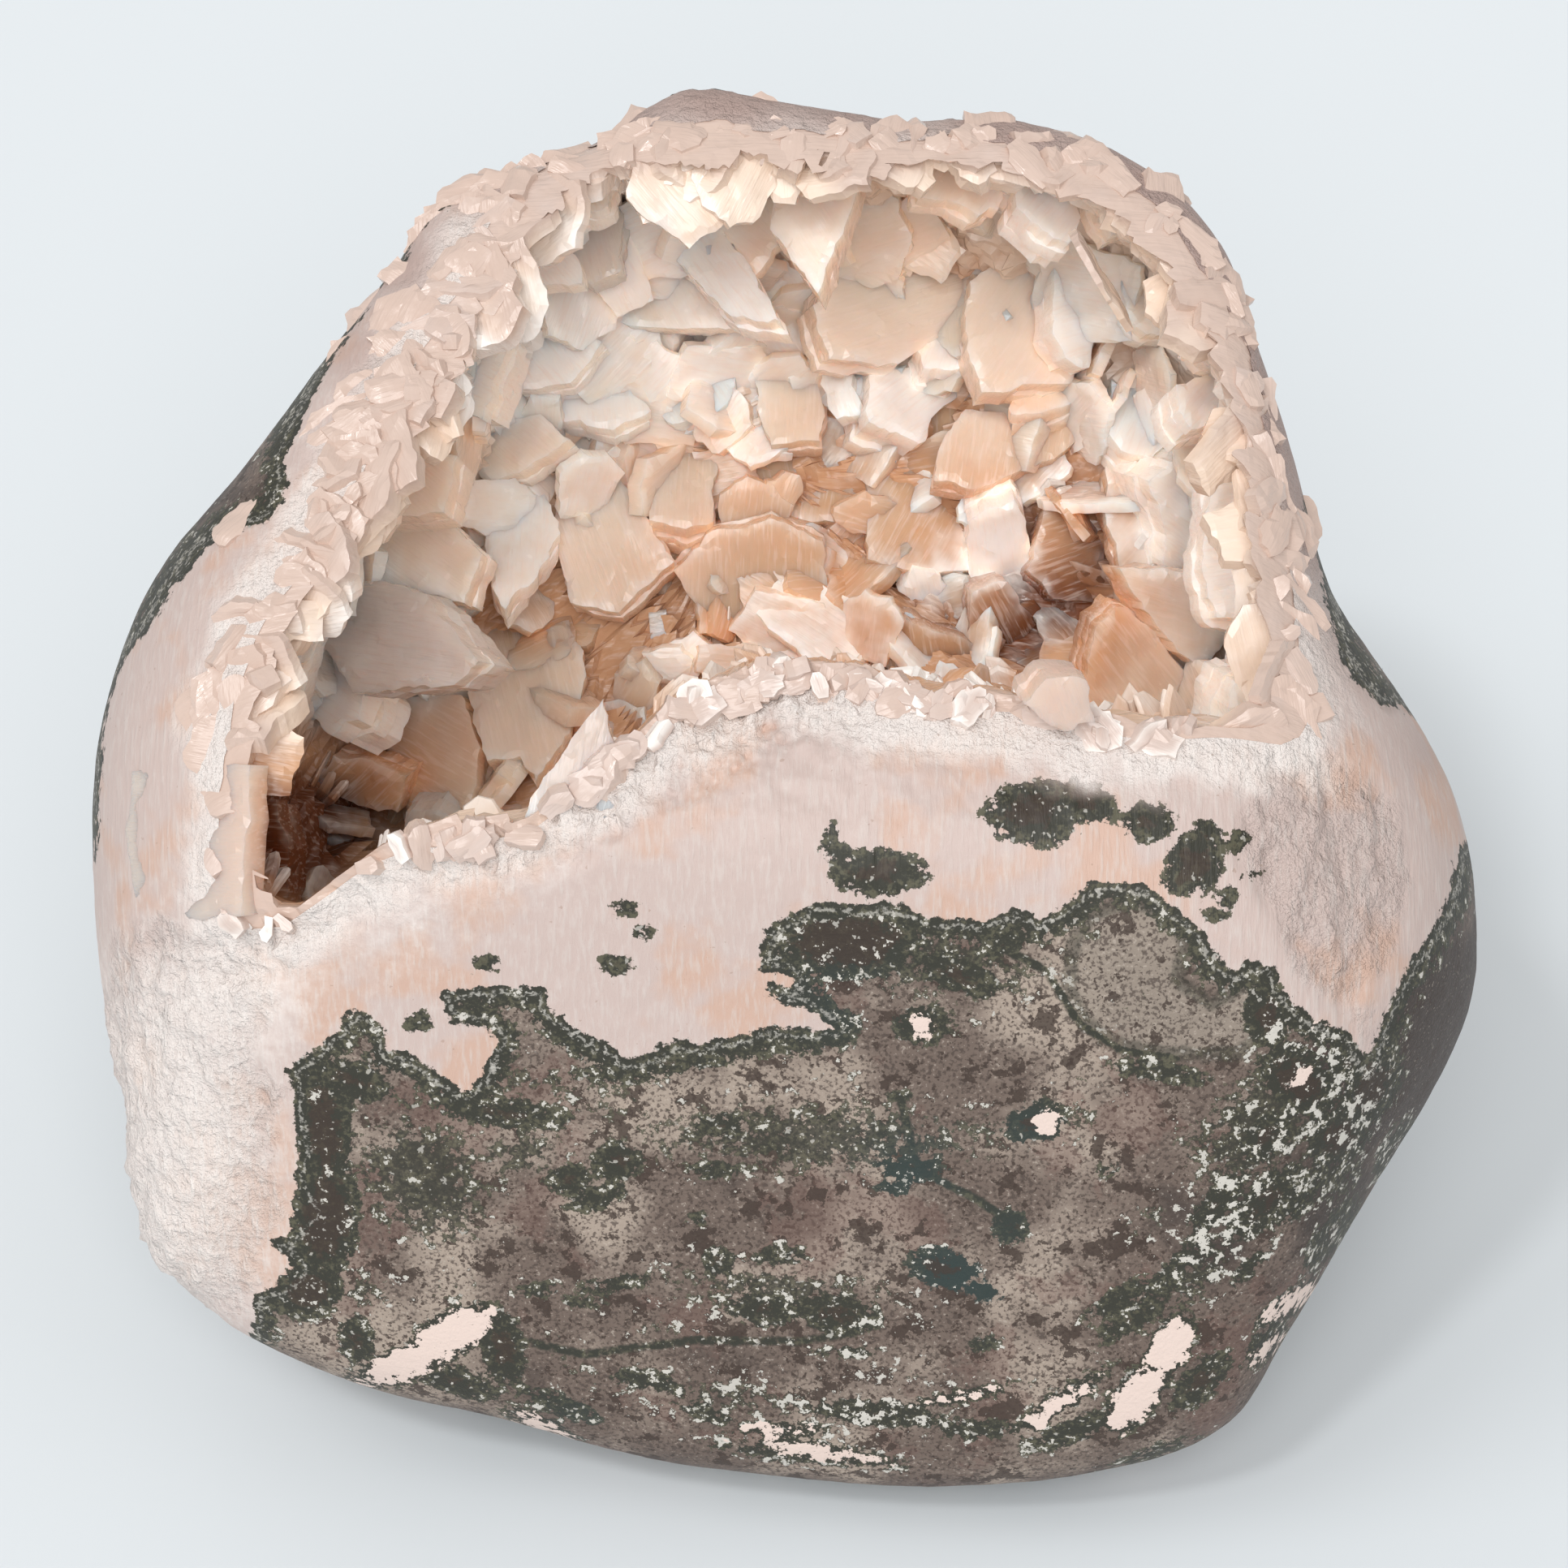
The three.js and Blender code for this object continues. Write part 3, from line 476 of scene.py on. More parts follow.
def undercut(angles, near):
    """How far the hollow's wall is cut back under the lip, at an angle and a depth."""
    apart = np.abs((np.degrees(angles) - UNDERCUT_TOWARDS + 180) % 360 - 180)
    reach = UNDERCUT_REACH * (1 - smooth_step(0, UNDERCUT_SPREAD, apart))
    return reach * (1 - smooth_step(UNDERCUT_TO, UNDERCUT_FROM, near))


def rim_radius(angles):
    """How far the hollow's edge is from its centre at the level of the rim."""
    return hollow_radius(angles) + undercut(angles, RIM_LEVEL)


def outward(angles):
    """Across and up of the directions at angles from the right."""
    return np.stack([np.cos(angles), np.sin(angles)], axis=-1)


def floor_bend(share):
    """The curve of the hollow's floor: 1 in its centre, 0 at its edge."""
    return (1 - share**FLOOR_ROUNDNESS) ** (1 / FLOOR_ROUNDNESS)


def floor_depth(flat):
    """How deep the floor would lie below a place if it didn't rise to the edge."""
    apart = np.linalg.norm(flat - pocket_place, axis=-1) / POCKET_REACH
    return FLOOR_DEPTH + POCKET_DEPTH * np.exp(-apart * apart)


def bowl_place(angles, share, shrink):
    """View coordinates of the bowl's wall, by angle and by share of the way out to its edge."""
    radius = rim_radius(angles) - shrink
    flat = hollow_centre + outward(angles) * (radius * share)[..., None]
    near = RIM_LEVEL - (floor_depth(flat) - shrink) * floor_bend(share)
    return np.concatenate([flat, near[..., None]], axis=-1)


def tube_place(angles, near, shrink):
    """View coordinates of the wall before the rim, by angle and by depth."""
    radius = hollow_radius(angles) + undercut(angles, near) - shrink
    return at_depth(hollow_centre + outward(angles) * radius[..., None], near)


TUBE_RINGS = np.append(np.linspace(-6, 44, 42), MOUTH_LEVEL)


def hollow(around, shrink, rough=0, bowl_rings=15):
    """The hollow as a closed solid, points in mm and faces, its wall moved in by shrink."""
    angles = np.linspace(0, 2 * math.pi, around, endpoint=False)
    shares = np.sin(np.linspace(0, math.pi / 2, bowl_rings + 1)[1:])
    rings = [bowl_place(angles, np.full(around, share), shrink) for share in shares]
    rings += [tube_place(angles, np.full(around, near), shrink) for near in TUBE_RINGS]
    wall = np.concatenate(rings)
    if rough:
        out = np.tile(outward(angles), (len(rings), 1))
        ragged = cloud(wall, 5, 5, 11.0) * rough
        wall[:, :2] += out * ragged[:, None]
    floor_place = bowl_place(np.zeros(1), np.zeros(1), shrink)
    mouth_place = at_depth(hollow_centre, MOUTH_LEVEL)[None]
    points = to_world(np.concatenate([floor_place, wall, mouth_place]))
    ring, i = np.meshgrid(np.arange(len(rings) - 1), np.arange(around), indexing="ij")
    ring, i = ring.ravel(), i.ravel()
    after = (i + 1) % around
    low, high = ring * around, (ring + 1) * around
    faces = (1 + np.column_stack([low + i, low + after, high + after, high + i])).tolist()
    last = 1 + (len(rings) - 1) * around
    for k in range(around):
        after = (k + 1) % around
        faces.append([0, 1 + after, 1 + k])
        faces.append([len(points) - 1, last + k, last + after])
    return points, faces


def column(outline, back, front):
    """A closed column along the sight lines through an outline, from one depth to another."""
    flat = pixel_place(outline)
    count = len(flat)
    points = [at_depth(flat, np.full(count, near)) for near in (back, front)]
    cap = geometry.tessellate_polygon([[Vector((*place, 0)) for place in flat]])
    faces = [[a, b, c] for a, b, c in cap] + [[count + c, count + b, count + a] for a, b, c in cap]
    a, b, c = (Vector(flat[k]) for k in cap[0])
    if (b - a).cross(c - a) > 0:
        faces = [face[::-1] for face in faces]
    faces += [[i, (i + 1) % count, count + (i + 1) % count, count + i] for i in range(count)]
    return to_world(np.concatenate(points)), faces


def solid(name, points, faces):
    """A closed body that can be cut, or that cuts others."""
    made = new_piece(name, points, np.asarray(faces, dtype=object).tolist())
    if made.data.validate():
        print("mended", name)
    return made


def remove(*tools):
    """Takes away bodies that have done their cutting."""
    for tool in tools:
        bpy.data.objects.remove(tool)


def cut(body, *steps):
    """body after each step of operation and tool in turn, in place."""
    for operation, tool in steps:
        made = body.modifiers.new(operation, "BOOLEAN")
        made.operation, made.object, made.solver = operation, tool, "MANIFOLD"
    shaped = body.evaluated_get(bpy.context.evaluated_depsgraph_get())
    mesh = bpy.data.meshes.new_from_object(shaped)
    body.modifiers.clear()
    body.data = mesh
    return body


HOLLOW_SIDES, CRUST_SIDES, ROUND_SIDES = 240, 300, 60
WALL_ROUGHNESS = 0.9  # mm

whole_stone = skin(STONE_STEPS, -SKIN_MARGIN, relief=True)
basalt = solid("basalt_matrix_stone", *whole_stone)
lining = solid("heulandite_lining_stone", *whole_stone)
space = solid("space", *hollow(HOLLOW_SIDES, 0, rough=WALL_ROUGHNESS))
lining_column = column(LINING_OUTLINE, LINING_BACK_LEVEL, LINING_FRONT_LEVEL)
surface_lining = solid("surface_lining", *lining_column)
inner_core = solid("inner_core", *skin(CORE_STEPS, -SURFACE_LINING_DEPTH, relief=False))
lining_space = solid("lining_space", *skin(SPACE_STEPS, -BASALT_SKIN, relief=False))
round_hollow = solid("round_hollow", *hollow(ROUND_SIDES, -LINING_THICKNESS))
cut(surface_lining, ("DIFFERENCE", inner_core))
cut(lining_space, ("INTERSECT", round_hollow), ("UNION", surface_lining))
cut(basalt, ("DIFFERENCE", lining_space), ("DIFFERENCE", space))
cut(lining, ("INTERSECT", lining_space), ("DIFFERENCE", space))
remove(surface_lining, inner_core, lining_space, round_hollow)

# THE GROUND STONE
# Grey-brown fine-grained basalt and the pale pink, fibrous lining that stuck to it, both cut by
# the same ground face. Dark green mineral rinds the border and fills small vesicles, and is
# flush with the stone, so all of this is colour and a very low relief.

# Green and brown-green spots: x, y, half width, half height in pixels, and turn in degrees.
GREEN_SPOTS = [
    (1272, 998, 62, 38, 10), (1336, 986, 42, 26, -20), (1288, 1022, 34, 22, 0),
    (1415, 1012, 34, 25, 0), (1472, 1062, 36, 40, 10), (1486, 1030, 22, 22, 0),
    (1452, 1086, 20, 16, 0), (1528, 1036, 12, 18, -25), (1540, 1078, 16, 7, 25),
    (1512, 1104, 12, 16, 0), (1500, 1126, 14, 9, 0), (770, 1117, 17, 10, 0),
    (790, 1148, 12, 9, 0), (758, 1188, 18, 13, 0), (598, 1186, 18, 10, 0),
    (515, 1258, 17, 13, 0), (1082, 1074, 62, 30, 0), (1036, 1052, 26, 14, -35),
    (1024, 1026, 9, 16, 0), (1045, 1160, 100, 46, 0), (1136, 1262, 36, 27, 0),
    (885, 1555, 22, 20, 0), (960, 1545, 34, 13, 0), (665, 1588, 28, 10, 0),
    (760, 1580, 45, 13, 8), (720, 1603, 26, 8, 0), (940, 1612, 48, 22, -6),
    (1030, 1618, 58, 26, -8), (1160, 1562, 46, 26, -10), (1212, 1590, 30, 14, -20),
    (1245, 1510, 24, 22, 0), (1120, 1438, 44, 16, 0), (1100, 1462, 20, 10, 0),
    (1275, 1380, 40, 26, 20), (1365, 1440, 15, 9, 0), (1210, 1655, 22, 10, 10),
    (1045, 1665, 40, 8, 0), (700, 1452, 30, 20, 0), (760, 1430, 34, 26, 10),
    (735, 1475, 40, 16, 20), (890, 1385, 34, 16, 0), (880, 1440, 30, 12, 0),
    (1110, 1350, 18, 7, 0), (860, 1500, 14, 8, 0), (1430, 1320, 60, 14, -8),
    (1600, 1330, 60, 40, -40), (1650, 1400, 46, 34, 40), (1560, 1400, 40, 26, 45),
    (1500, 1480, 56, 20, 50), (1450, 1560, 60, 16, 50), (1600, 1480, 46, 16, 50),
    (1540, 1560, 40, 12, 50), (1380, 1600, 50, 16, 30), (1660, 1310, 30, 20, 0),
    (400, 1390, 36, 92, 4), (402, 1500, 44, 80, -4), (380, 1590, 46, 36, 10),
    (440, 1650, 24, 34, 10), (436, 1330, 50, 26, -20), (1690, 1340, 60, 34, 60),
    (1720, 1420, 50, 22, 65), (1560, 1250, 30, 44, 10), (1560, 1480, 70, 26, 45),
    (1640, 1520, 60, 18, 55), (1400, 1620, 60, 18, 35), (1180, 1200, 60, 24, -20),
    (1240, 1160, 40, 18, 20), (820, 1310, 120, 14, 8), (620, 1370, 90, 20, -6),
    (560, 1700, 60, 20, -20), (620, 1660, 30, 50, 10), (690, 1730, 60, 14, -20),
    (800, 1700, 50, 14, -10), (1080, 1740, 90, 18, -4), (960, 1790, 90, 10, -8),
    (1200, 1760, 60, 14, 0), (1330, 1760, 70, 16, 20), (1480, 1700, 50, 24, 45),
    (1560, 1650, 40, 16, 50), (870, 1740, 40, 12, -20), (1420, 1790, 60, 10, 20),
]
# Loose mottling of dark brown and green, in the same form.
MOTTLED_SPOTS = [
    (1560, 1380, 150, 80, 45), (1480, 1560, 150, 50, 50), (520, 1450, 110, 90, -30),
    (960, 1590, 200, 50, -5), (1150, 1180, 160, 60, 0), (640, 1330, 240, 34, -4),
    (900, 1720, 260, 40, -8), (1000, 1400, 300, 60, 0),
    (640, 1420, 80, 50, 0), (560, 1510, 60, 40, -30), (900, 1400, 60, 46, 0),
    (500, 1360, 60, 30, 30), (760, 1360, 90, 30, 10), (1040, 1330, 50, 16, 0),
    (1330, 1380, 60, 30, 20), (1480, 1400, 60, 40, 50), (1420, 1500, 50, 30, 40),
    (820, 1640, 70, 26, -10), (560, 1590, 60, 24, 0), (1120, 1690, 90, 24, 0),
    (1160, 1250, 60, 36, 0), (1240, 1200, 60, 40, 0), (1640, 1440, 60, 70, 40),
    (700, 1670, 60, 30, -20), (450, 1590, 50, 40, 0), (1340, 1150, 24, 40, -10),
    (1470, 1180, 26, 34, 30), (1400, 1230, 24, 36, -30), (1330, 1330, 40, 16, 0),
]
PALE_SPOTS = [
    (560, 1640, 52, 24, 25), (500, 1680, 62, 18, 20), (668, 1757, 32, 9, -25),
    (1440, 1660, 42, 22, 60), (1400, 1720, 50, 22, 50), (1590, 1604, 34, 10, 35),
    (1307, 1727, 46, 10, 35), (1010, 1788, 60, 7, -8), (1600, 1330, 20, 8, 40),
    (1290, 1382, 16, 15, 0), (1136, 1262, 13, 15, 0), (1560, 1660, 20, 8, 40),
    (960, 1760, 30, 5, 0), (1180, 1720, 30, 4, 10), (1640, 1250, 16, 6, 30),
]
CLAST_OUTLINE = [
    (1322, 1160), (1345, 1125), (1395, 1108), (1440, 1124), (1462, 1160), (1450, 1205),
    (1492, 1236), (1548, 1200), (1568, 1226), (1562, 1268), (1530, 1296), (1450, 1300),
    (1384, 1290), (1340, 1262), (1316, 1220),
]
CRACKS = [
    [(1238, 1168), (1290, 1196), (1312, 1232), (1332, 1262), (1384, 1294), (1450, 1303)],
    [(640, 1650), (720, 1668), (860, 1650), (985, 1652), (1060, 1640)],
    [(1110, 1352), (1130, 1440), (1190, 1470), (1260, 1512)],
]
BACK_GREEN_SIZE, BACK_PALE_SIZE = 13, 9  # mm across
BACK_GREEN_LEVEL, BACK_PALE_LEVEL = 0.22, 0.6  # the higher, the fewer spots
FAR = 200  # pixels


def spots(pixels, table):
    """Pixels to the edge of the nearest of many slanted ovals, positive inside it."""
    nearest = np.full(len(pixels), -float(FAR))
    for x, y, wide, high, turn in table:
        turn = math.radians(turn)
        right, up = pixels[:, 0] - x, y - pixels[:, 1]
        along = (right * math.cos(turn) + up * math.sin(turn)) / wide
        over = (up * math.cos(turn) - right * math.sin(turn)) / high
        away = np.hypot(along, over)
        nearest = np.maximum(nearest, (1 - away) * min(wide, high) * np.where(away < 1, 1, 1.6))
    return nearest


def from_lines(pixels, lines):
    """Pixels to the nearest of several open lines."""
    nearest = np.full(len(pixels), float(FAR))
    for line in lines:
        for a, b in zip(np.array(line[:-1], float), np.array(line[1:], float)):
            t = np.clip((pixels - a) @ (b - a) / ((b - a) @ (b - a)), 0, 1)
            nearest = np.minimum(nearest, np.linalg.norm(pixels - a - t[:, None] * (b - a), axis=1))
    return nearest


def zones(points, table):
    """How much of a table's tint there is at each point: it fades round each of its places."""
    pixels = pixels_of(to_view(points))
    share = np.zeros(len(points))
    for x, y, radius, most in table:
        share += most * np.exp(-(((pixels[:, 0] - x) ** 2 + (pixels[:, 1] - y) ** 2) / radius**2))
    return share


DARK_AND_SHADED_ZONES = [  # x, y and radius in pixels, and how much darker; on the right facet and along the bottom it is painted shade where the stone turns from the light
    (1770, 1240, 150, 2), (1650, 1450, 200, 1.1), (1320, 1540, 190, 0.5), (800, 1700, 220, 0.3),
    (1500, 1700, 200, 0.4), (1060, 1180, 110, 0.5), (250, 640, 120, 0.7),
]
TEAL_ZONES = [
    (1165, 1565, 50, 1), (1120, 1445, 60, 0.9), (1265, 1390, 40, 0.7), (1225, 1595, 40, 0.7),
    (1245, 1510, 30, 0.5), (1040, 1225, 60, 0.5), (720, 1760, 60, 0.4),
]
FROSTING_ZONES = [
    (1640, 1330, 60, 0.17), (1560, 1420, 60, 0.17), (1480, 1520, 60, 0.17), (1690, 1400, 50, 0.15),
    (1560, 1560, 90, 0.15), (1320, 1215, 30, 0.1), (1040, 1205, 60, 0.12), (900, 1720, 160, 0.12),
    (540, 1250, 60, 0.08), (1600, 1270, 50, 0.14), (1100, 1740, 120, 0.14), (470, 1590, 60, 0.12),
]
# Where the lining turns white: partly white crystalline lining, partly painted light on the lower
# left, which faces away from the light.
FRESH_AND_LIT_ZONES = [
    (190, 1520, 150, 0.9), (170, 1260, 110, 0.6), (300, 1200, 90, 0.8), (480, 1110, 80, 0.5),
    (640, 1040, 70, 0.5), (860, 910, 70, 0.5), (240, 1380, 90, 0.5), (1080, 880, 60, 0.4),
]
# Where the lining goes mauve along the top rim: painted shade where the rim turns up and away from
# the light.
RIM_SHADE_ZONES = [
    (1400, 215, 110, 1), (1530, 350, 100, 1), (1600, 500, 90, 1), (1640, 650, 90, 0.9),
    (1680, 800, 80, 0.7), (1230, 135, 90, 0.9), (1060, 110, 90, 0.9), (900, 100, 90, 0.9),
    (740, 120, 90, 0.9), (590, 200, 80, 0.9), (500, 330, 60, 0.7), (440, 440, 60, 0.6),
    (1760, 930, 60, 0.5),
]


def stone_fields(points):
    """What the ground stone's material reads at each point, in mm."""
    places = to_view(points)
    pixels = pixels_of(places)
    scale = MM_PER_PIXEL * (1 - places[:, 2] / EYE)
    front = smooth_step(-3, 6, places[:, 2])
    coarse = cloud(points, 5, 4)
    border = inside_distance(pixels, LINING_OUTLINE) * scale
    border = np.minimum(border, places[:, 2] - LINING_BACK_LEVEL) + coarse * 0.4
    back_green = (cloud(points, BACK_GREEN_SIZE, 4, 5.0) - BACK_GREEN_LEVEL) * 5
    back_pale = (cloud(points, BACK_PALE_SIZE, 4, 9.0) - BACK_PALE_LEVEL) * 5
    green = spots(pixels, GREEN_SPOTS) * scale
    pale = spots(pixels, PALE_SPOTS) * scale
    return {
        "border": border,
        "green": green * front + back_green * (1 - front),
        "pale": pale * front + back_pale * (1 - front),
        "mottled": np.where(front > 0.5, spots(pixels, MOTTLED_SPOTS) * scale * 0.2, 0) - 0.42,
        "clast": np.where(front > 0.5, inside_distance(pixels, CLAST_OUTLINE) * scale, -9),
        "crack": np.where(front > 0.5, from_lines(pixels, CRACKS) * scale, 9),
        "lip": -inside_distance(pixels, HOLLOW_OUTLINE) * scale + coarse * 2,
        "torn": torn_distance(pixels) * scale + coarse * 1.5,
        "cloudy_and_shaded": cloud(points, 11, 5, 1.0) - zones(points, DARK_AND_SHADED_ZONES),
        "stain": cloud(points, 13, 5, 2.0),
        "teal": zones(points, TEAL_ZONES),
        "frosting": zones(points, FROSTING_ZONES),
        "rim": zones(points, RIM_SHADE_ZONES),
        "fresh_and_lit": zones(points, FRESH_AND_LIT_ZONES),
        "brown": cloud(points, 3.5, 4, 4.0),
    }


BASALT, BASALT_DARK, BASALT_DEEP = srgb(162, 147, 134), srgb(106, 91, 82), srgb(58, 48, 43)
GRAIN_LIGHT, GRAIN_DARK = srgb(190, 178, 166), srgb(66, 53, 46)
CLAST, BROWN = srgb(148, 136, 124), srgb(54, 39, 30)
GREEN, GREEN_LIGHT, TEAL = srgb(44, 44, 34), srgb(92, 89, 70), srgb(38, 52, 50)
FLECK, PALE = srgb(198, 194, 186), srgb(222, 202, 192)
PINK, PEACH, WHITE = srgb(196, 177, 170), srgb(200, 164, 144), srgb(206, 196, 190)
MAUVE_SHADE, RED_BROWN, LIP_WHITE = srgb(176, 153, 145), srgb(104, 74, 66), srgb(238, 231, 226)
OCHRE = srgb(150, 120, 100)
BASALT_BUMP, LINING_BUMP = 0.25, 0.3  # mm

# Below, above(low, high) says where a tint starts and where it is full. What the mesh carries
# is in mm to an edge, or a share, and ragged frays it.

ground_stone, start = finish("ground_stone")
metres = start.node("TexCoord", {}, {}, "Object")
place = start.node("VectorMath", {"operation": "SCALE"}, {0: metres, "Scale": 1 / MM})
tilt = {"Vector": place, "Angle": VIEW_TILT}
turned = start.node("VectorRotate", {"rotation_type": "X_AXIS"}, tilt)
drawn = start.node("VectorMath", {"operation": "MULTIPLY"}, {0: turned, 1: (1, 0.3, 0.12)})
ragged = start.speckle(place, 1.5, 4, 0.68) - 0.5
fine = start.speckle(place, 0.45, 2)
flecks = start.speckle(place, 0.8, 2)
fibre = start.speckle(drawn, 0.45, 3, 0.6)

border = start.field("border") + ragged * 2.6
in_lining = border.above(-0.08, 0.08)
rind = (border + 2.4 + ragged * 4).above(-0.1, 0.1)
green = (start.field("green") + ragged * 4.6).above(-0.12, 0.1)
core = (start.field("green") + ragged * 5 - 1.4).above(-0.3, 0.3)
pale_depth = start.field("pale") + ragged * 6
pale = pale_depth.above(-0.1, 0.1)
pale_edge = (pale_depth + 0.8).above(-0.1, 0.1)
mottled = (start.field("mottled") + ragged * 3.4).above(0, 0.1)
white_blotch = (start.field("frosting") + ragged * 2.4).above(0.3, 0.34)
clast = start.field("clast") + ragged * 1.4
on_clast = clast.above(-0.1, 0.1)
clast_rim = 1 - abs(clast).above(0.4, 1.1)
crack = 1 - (start.field("crack") + ragged * 0.8).above(0.25, 0.6)
inner_line = (1 - abs(border + 0.8).above(0.1, 0.3)) * fine.above(0.42, 0.6) * 0.5
specks = (1 - flecks).above(0.62, 0.66)
brown_cloud = (start.field("brown") + ragged * 3.2).above(0.38, 0.42)

cloudy_and_shaded, stain = start.field("cloudy_and_shaded"), start.field("stain")
# These two mixes paint shade as well as the basalt's own cloudy tone: it goes dark and deep dark on
# the right facet and along the bottom, where the stone turns from the light.
stone_colour = start.mix(cloudy_and_shaded.above(-0.5, 0.5), BASALT_DARK, BASALT)
stone_colour = start.mix(cloudy_and_shaded.above(-1.5, -0.6), BASALT_DEEP, stone_colour)
stone_colour = start.paint(
    stone_colour,
    (on_clast * 0.8, CLAST),
    (fine.above(0.62, 0.7) * 0.4, GRAIN_LIGHT),
    ((1 - fine).above(0.5, 0.62) * 0.75, GRAIN_DARK),
    (specks * 0.85, BROWN),
    ((stain + ragged).above(0.2, 0.4) * 0.35, RED_BROWN),
    (brown_cloud * 0.85, BROWN),
)
green_colour = start.paint(
    GREEN,
    ((ragged + fine * 0.5).above(0.22, 0.4) * 0.8, GREEN_LIGHT),
    (start.field("teal"), TEAL),
    (core * 0.75, BROWN),
    (flecks.above(0.64, 0.68) * 0.6, FLECK),
)
dark = green.most(rind).most(mottled * 0.9).most(clast_rim * 0.6).most(crack).most(pale_edge)
stone_colour = start.paint(
    stone_colour,
    (dark, green_colour),
    (inner_line, FLECK),
    (white_blotch * dark, FLECK),
    (pale, PALE),
)

near_lip = 1 - start.field("lip").above(1.5, 7.5)
# Whiter lining at the lip and in the zones above; on the lower left that whiteness is partly
# painted light.
fresh_and_lit = near_lip.most(start.field("fresh_and_lit") + ragged)
pink = start.paint(
    PINK,
    (stain.above(0, 0.5) * 0.75, PEACH),
    (fibre.above(0.45, 0.7) * 0.5, WHITE),
    (fresh_and_lit.above(0, 1) * (0.5 + fibre * 0.5), LIP_WHITE),
    (flecks.above(0.72, 0.75) * 0.4, OCHRE),
    # painted shade: the lining darkens to mauve along the top rim
    (start.field("rim").above(0.2, 0.9), MAUVE_SHADE),
    (green * (1 - near_lip), green_colour),
)

basalt_height = fine * 0.35 + ragged * 0.6
lining_height = fibre * 0.5 + start.field("torn").above(-0.5, 2).most(near_lip) * ragged * 4
basalt_shade = start.node("BsdfPrincipled", {}, {
    "Base Color": stone_colour, "Roughness": 0.45 + fine * 0.3,
    "Normal": start.bump(basalt_height, BASALT_BUMP),
})
lining_shade = start.node("BsdfPrincipled", {}, {
    "Base Color": pink, "Roughness": 0.42 + fibre * 0.3,
    "Normal": start.bump(lining_height, LINING_BUMP),
})
start.show(start.node("MixShader", {}, {0: in_lining, 1: basalt_shade, 2: lining_shade}))

STONE_EDGE, CRYSTAL_EDGE = 50, 18  # degrees from which an edge shows


def read_points(mesh):
    """The places of a mesh's corners in metres."""
    points = np.empty(len(mesh.vertices) * 3, np.float32)
    mesh.vertices.foreach_get("co", points)
    return points.reshape(-1, 3)


def give_fields(mesh, fields):
    """Lays numbers on a mesh's corners, which its material reads by their names."""
    for name, values in fields.items():
        layer = mesh.attributes.new(name, "FLOAT", "POINT")
        layer.data.foreach_set("value", values.astype(np.float32))


def cover(mesh, material):
    """One material on all faces, also on those that a cut made."""
    mesh.materials.clear()
    mesh.materials.append(material)
    mesh.polygons.foreach_set("material_index", [0] * len(mesh.polygons))


def shade_soft(mesh, edge):
    """Soft shading, but for the edges that turn by more than some degrees."""
    mesh.polygons.foreach_set("use_smooth", [True] * len(mesh.polygons))
    mesh.set_sharp_from_angle(angle=math.radians(edge))


for piece in (basalt, lining):
    give_fields(piece.data, stone_fields(read_points(piece.data) / MM))
    cover(piece.data, ground_stone)
    shade_soft(piece.data, STONE_EDGE)
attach(basalt, "root")
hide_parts("basalt_matrix")
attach(lining, "root")
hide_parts("heulandite_lining")

# THE CRUST'S GROUND
# The layer of small intergrown crystals that covers the whole hollow. It is a closed sheet
# between the lining's wall and a wall of many small tilted faces.

CRUST_THICKNESS = 1.6
GAP_SHADE_HEIGHT = 7  # mm above the floor up to which the gaps between the crystals are deeper in colour, as painted shade
FACET_SIZES = [(9, 2.2), (4, 1.3), (1.8, 0.6)]  # mm across, mm high
RIM_STEP = 0.15  # mm that the sheet's edge stays under the broken rim
FACETS_TOWARDS, BLADES_TOWARDS = -4, 12  # mm before the middle, where the crystals' faces look
CLOSED_END = 5  # mm of the mouth's end that stay without facets
CRUST_BOWL_RINGS = 50


def facets(points, size, seed):
    """A height of 0 to about 1 at each point, flat and tilted inside each of many cells."""
    heights = []
    for point in (np.asarray(points) / size + seed).tolist():
        cell = noise.voronoi(point)[1][0]
        tilt = noise.cell_vector(cell * 91.7)
        heights.append(0.5 + (Vector(point) - cell).dot(tilt))
    return np.array(heights)


def facing_in(points, faces):
    """The bowl's wall moved in by its facets; a focus before its floor says which way is in."""
    inward = to_world([*hollow_centre, FACETS_TOWARDS]) - points
    inward /= np.linalg.norm(inward, axis=1)[:, None]
    lift = sum(facets(points, size, size) * height for size, height in FACET_SIZES)
    lift *= to_view(points)[:, 2] < MOUTH_LEVEL - CLOSED_END
    return points + inward * lift[:, None], faces


# The third colour is the painted shade of the deep pocket, a dark brown.
CREAM, AMBER, CAVE_SHADE = srgb(243, 224, 206), srgb(212, 166, 130), srgb(122, 72, 46)
FROST, ROSE, RIM_SHADE_TINT = srgb(252, 247, 242), srgb(248, 228, 217), srgb(198, 174, 163)
REFRACTION = 1.5
SCATTER_REACH = (5.5, 2.7, 1.5)  # mm that red, green and blue light go inside
CRYSTAL_BUMP = 0.12  # mm


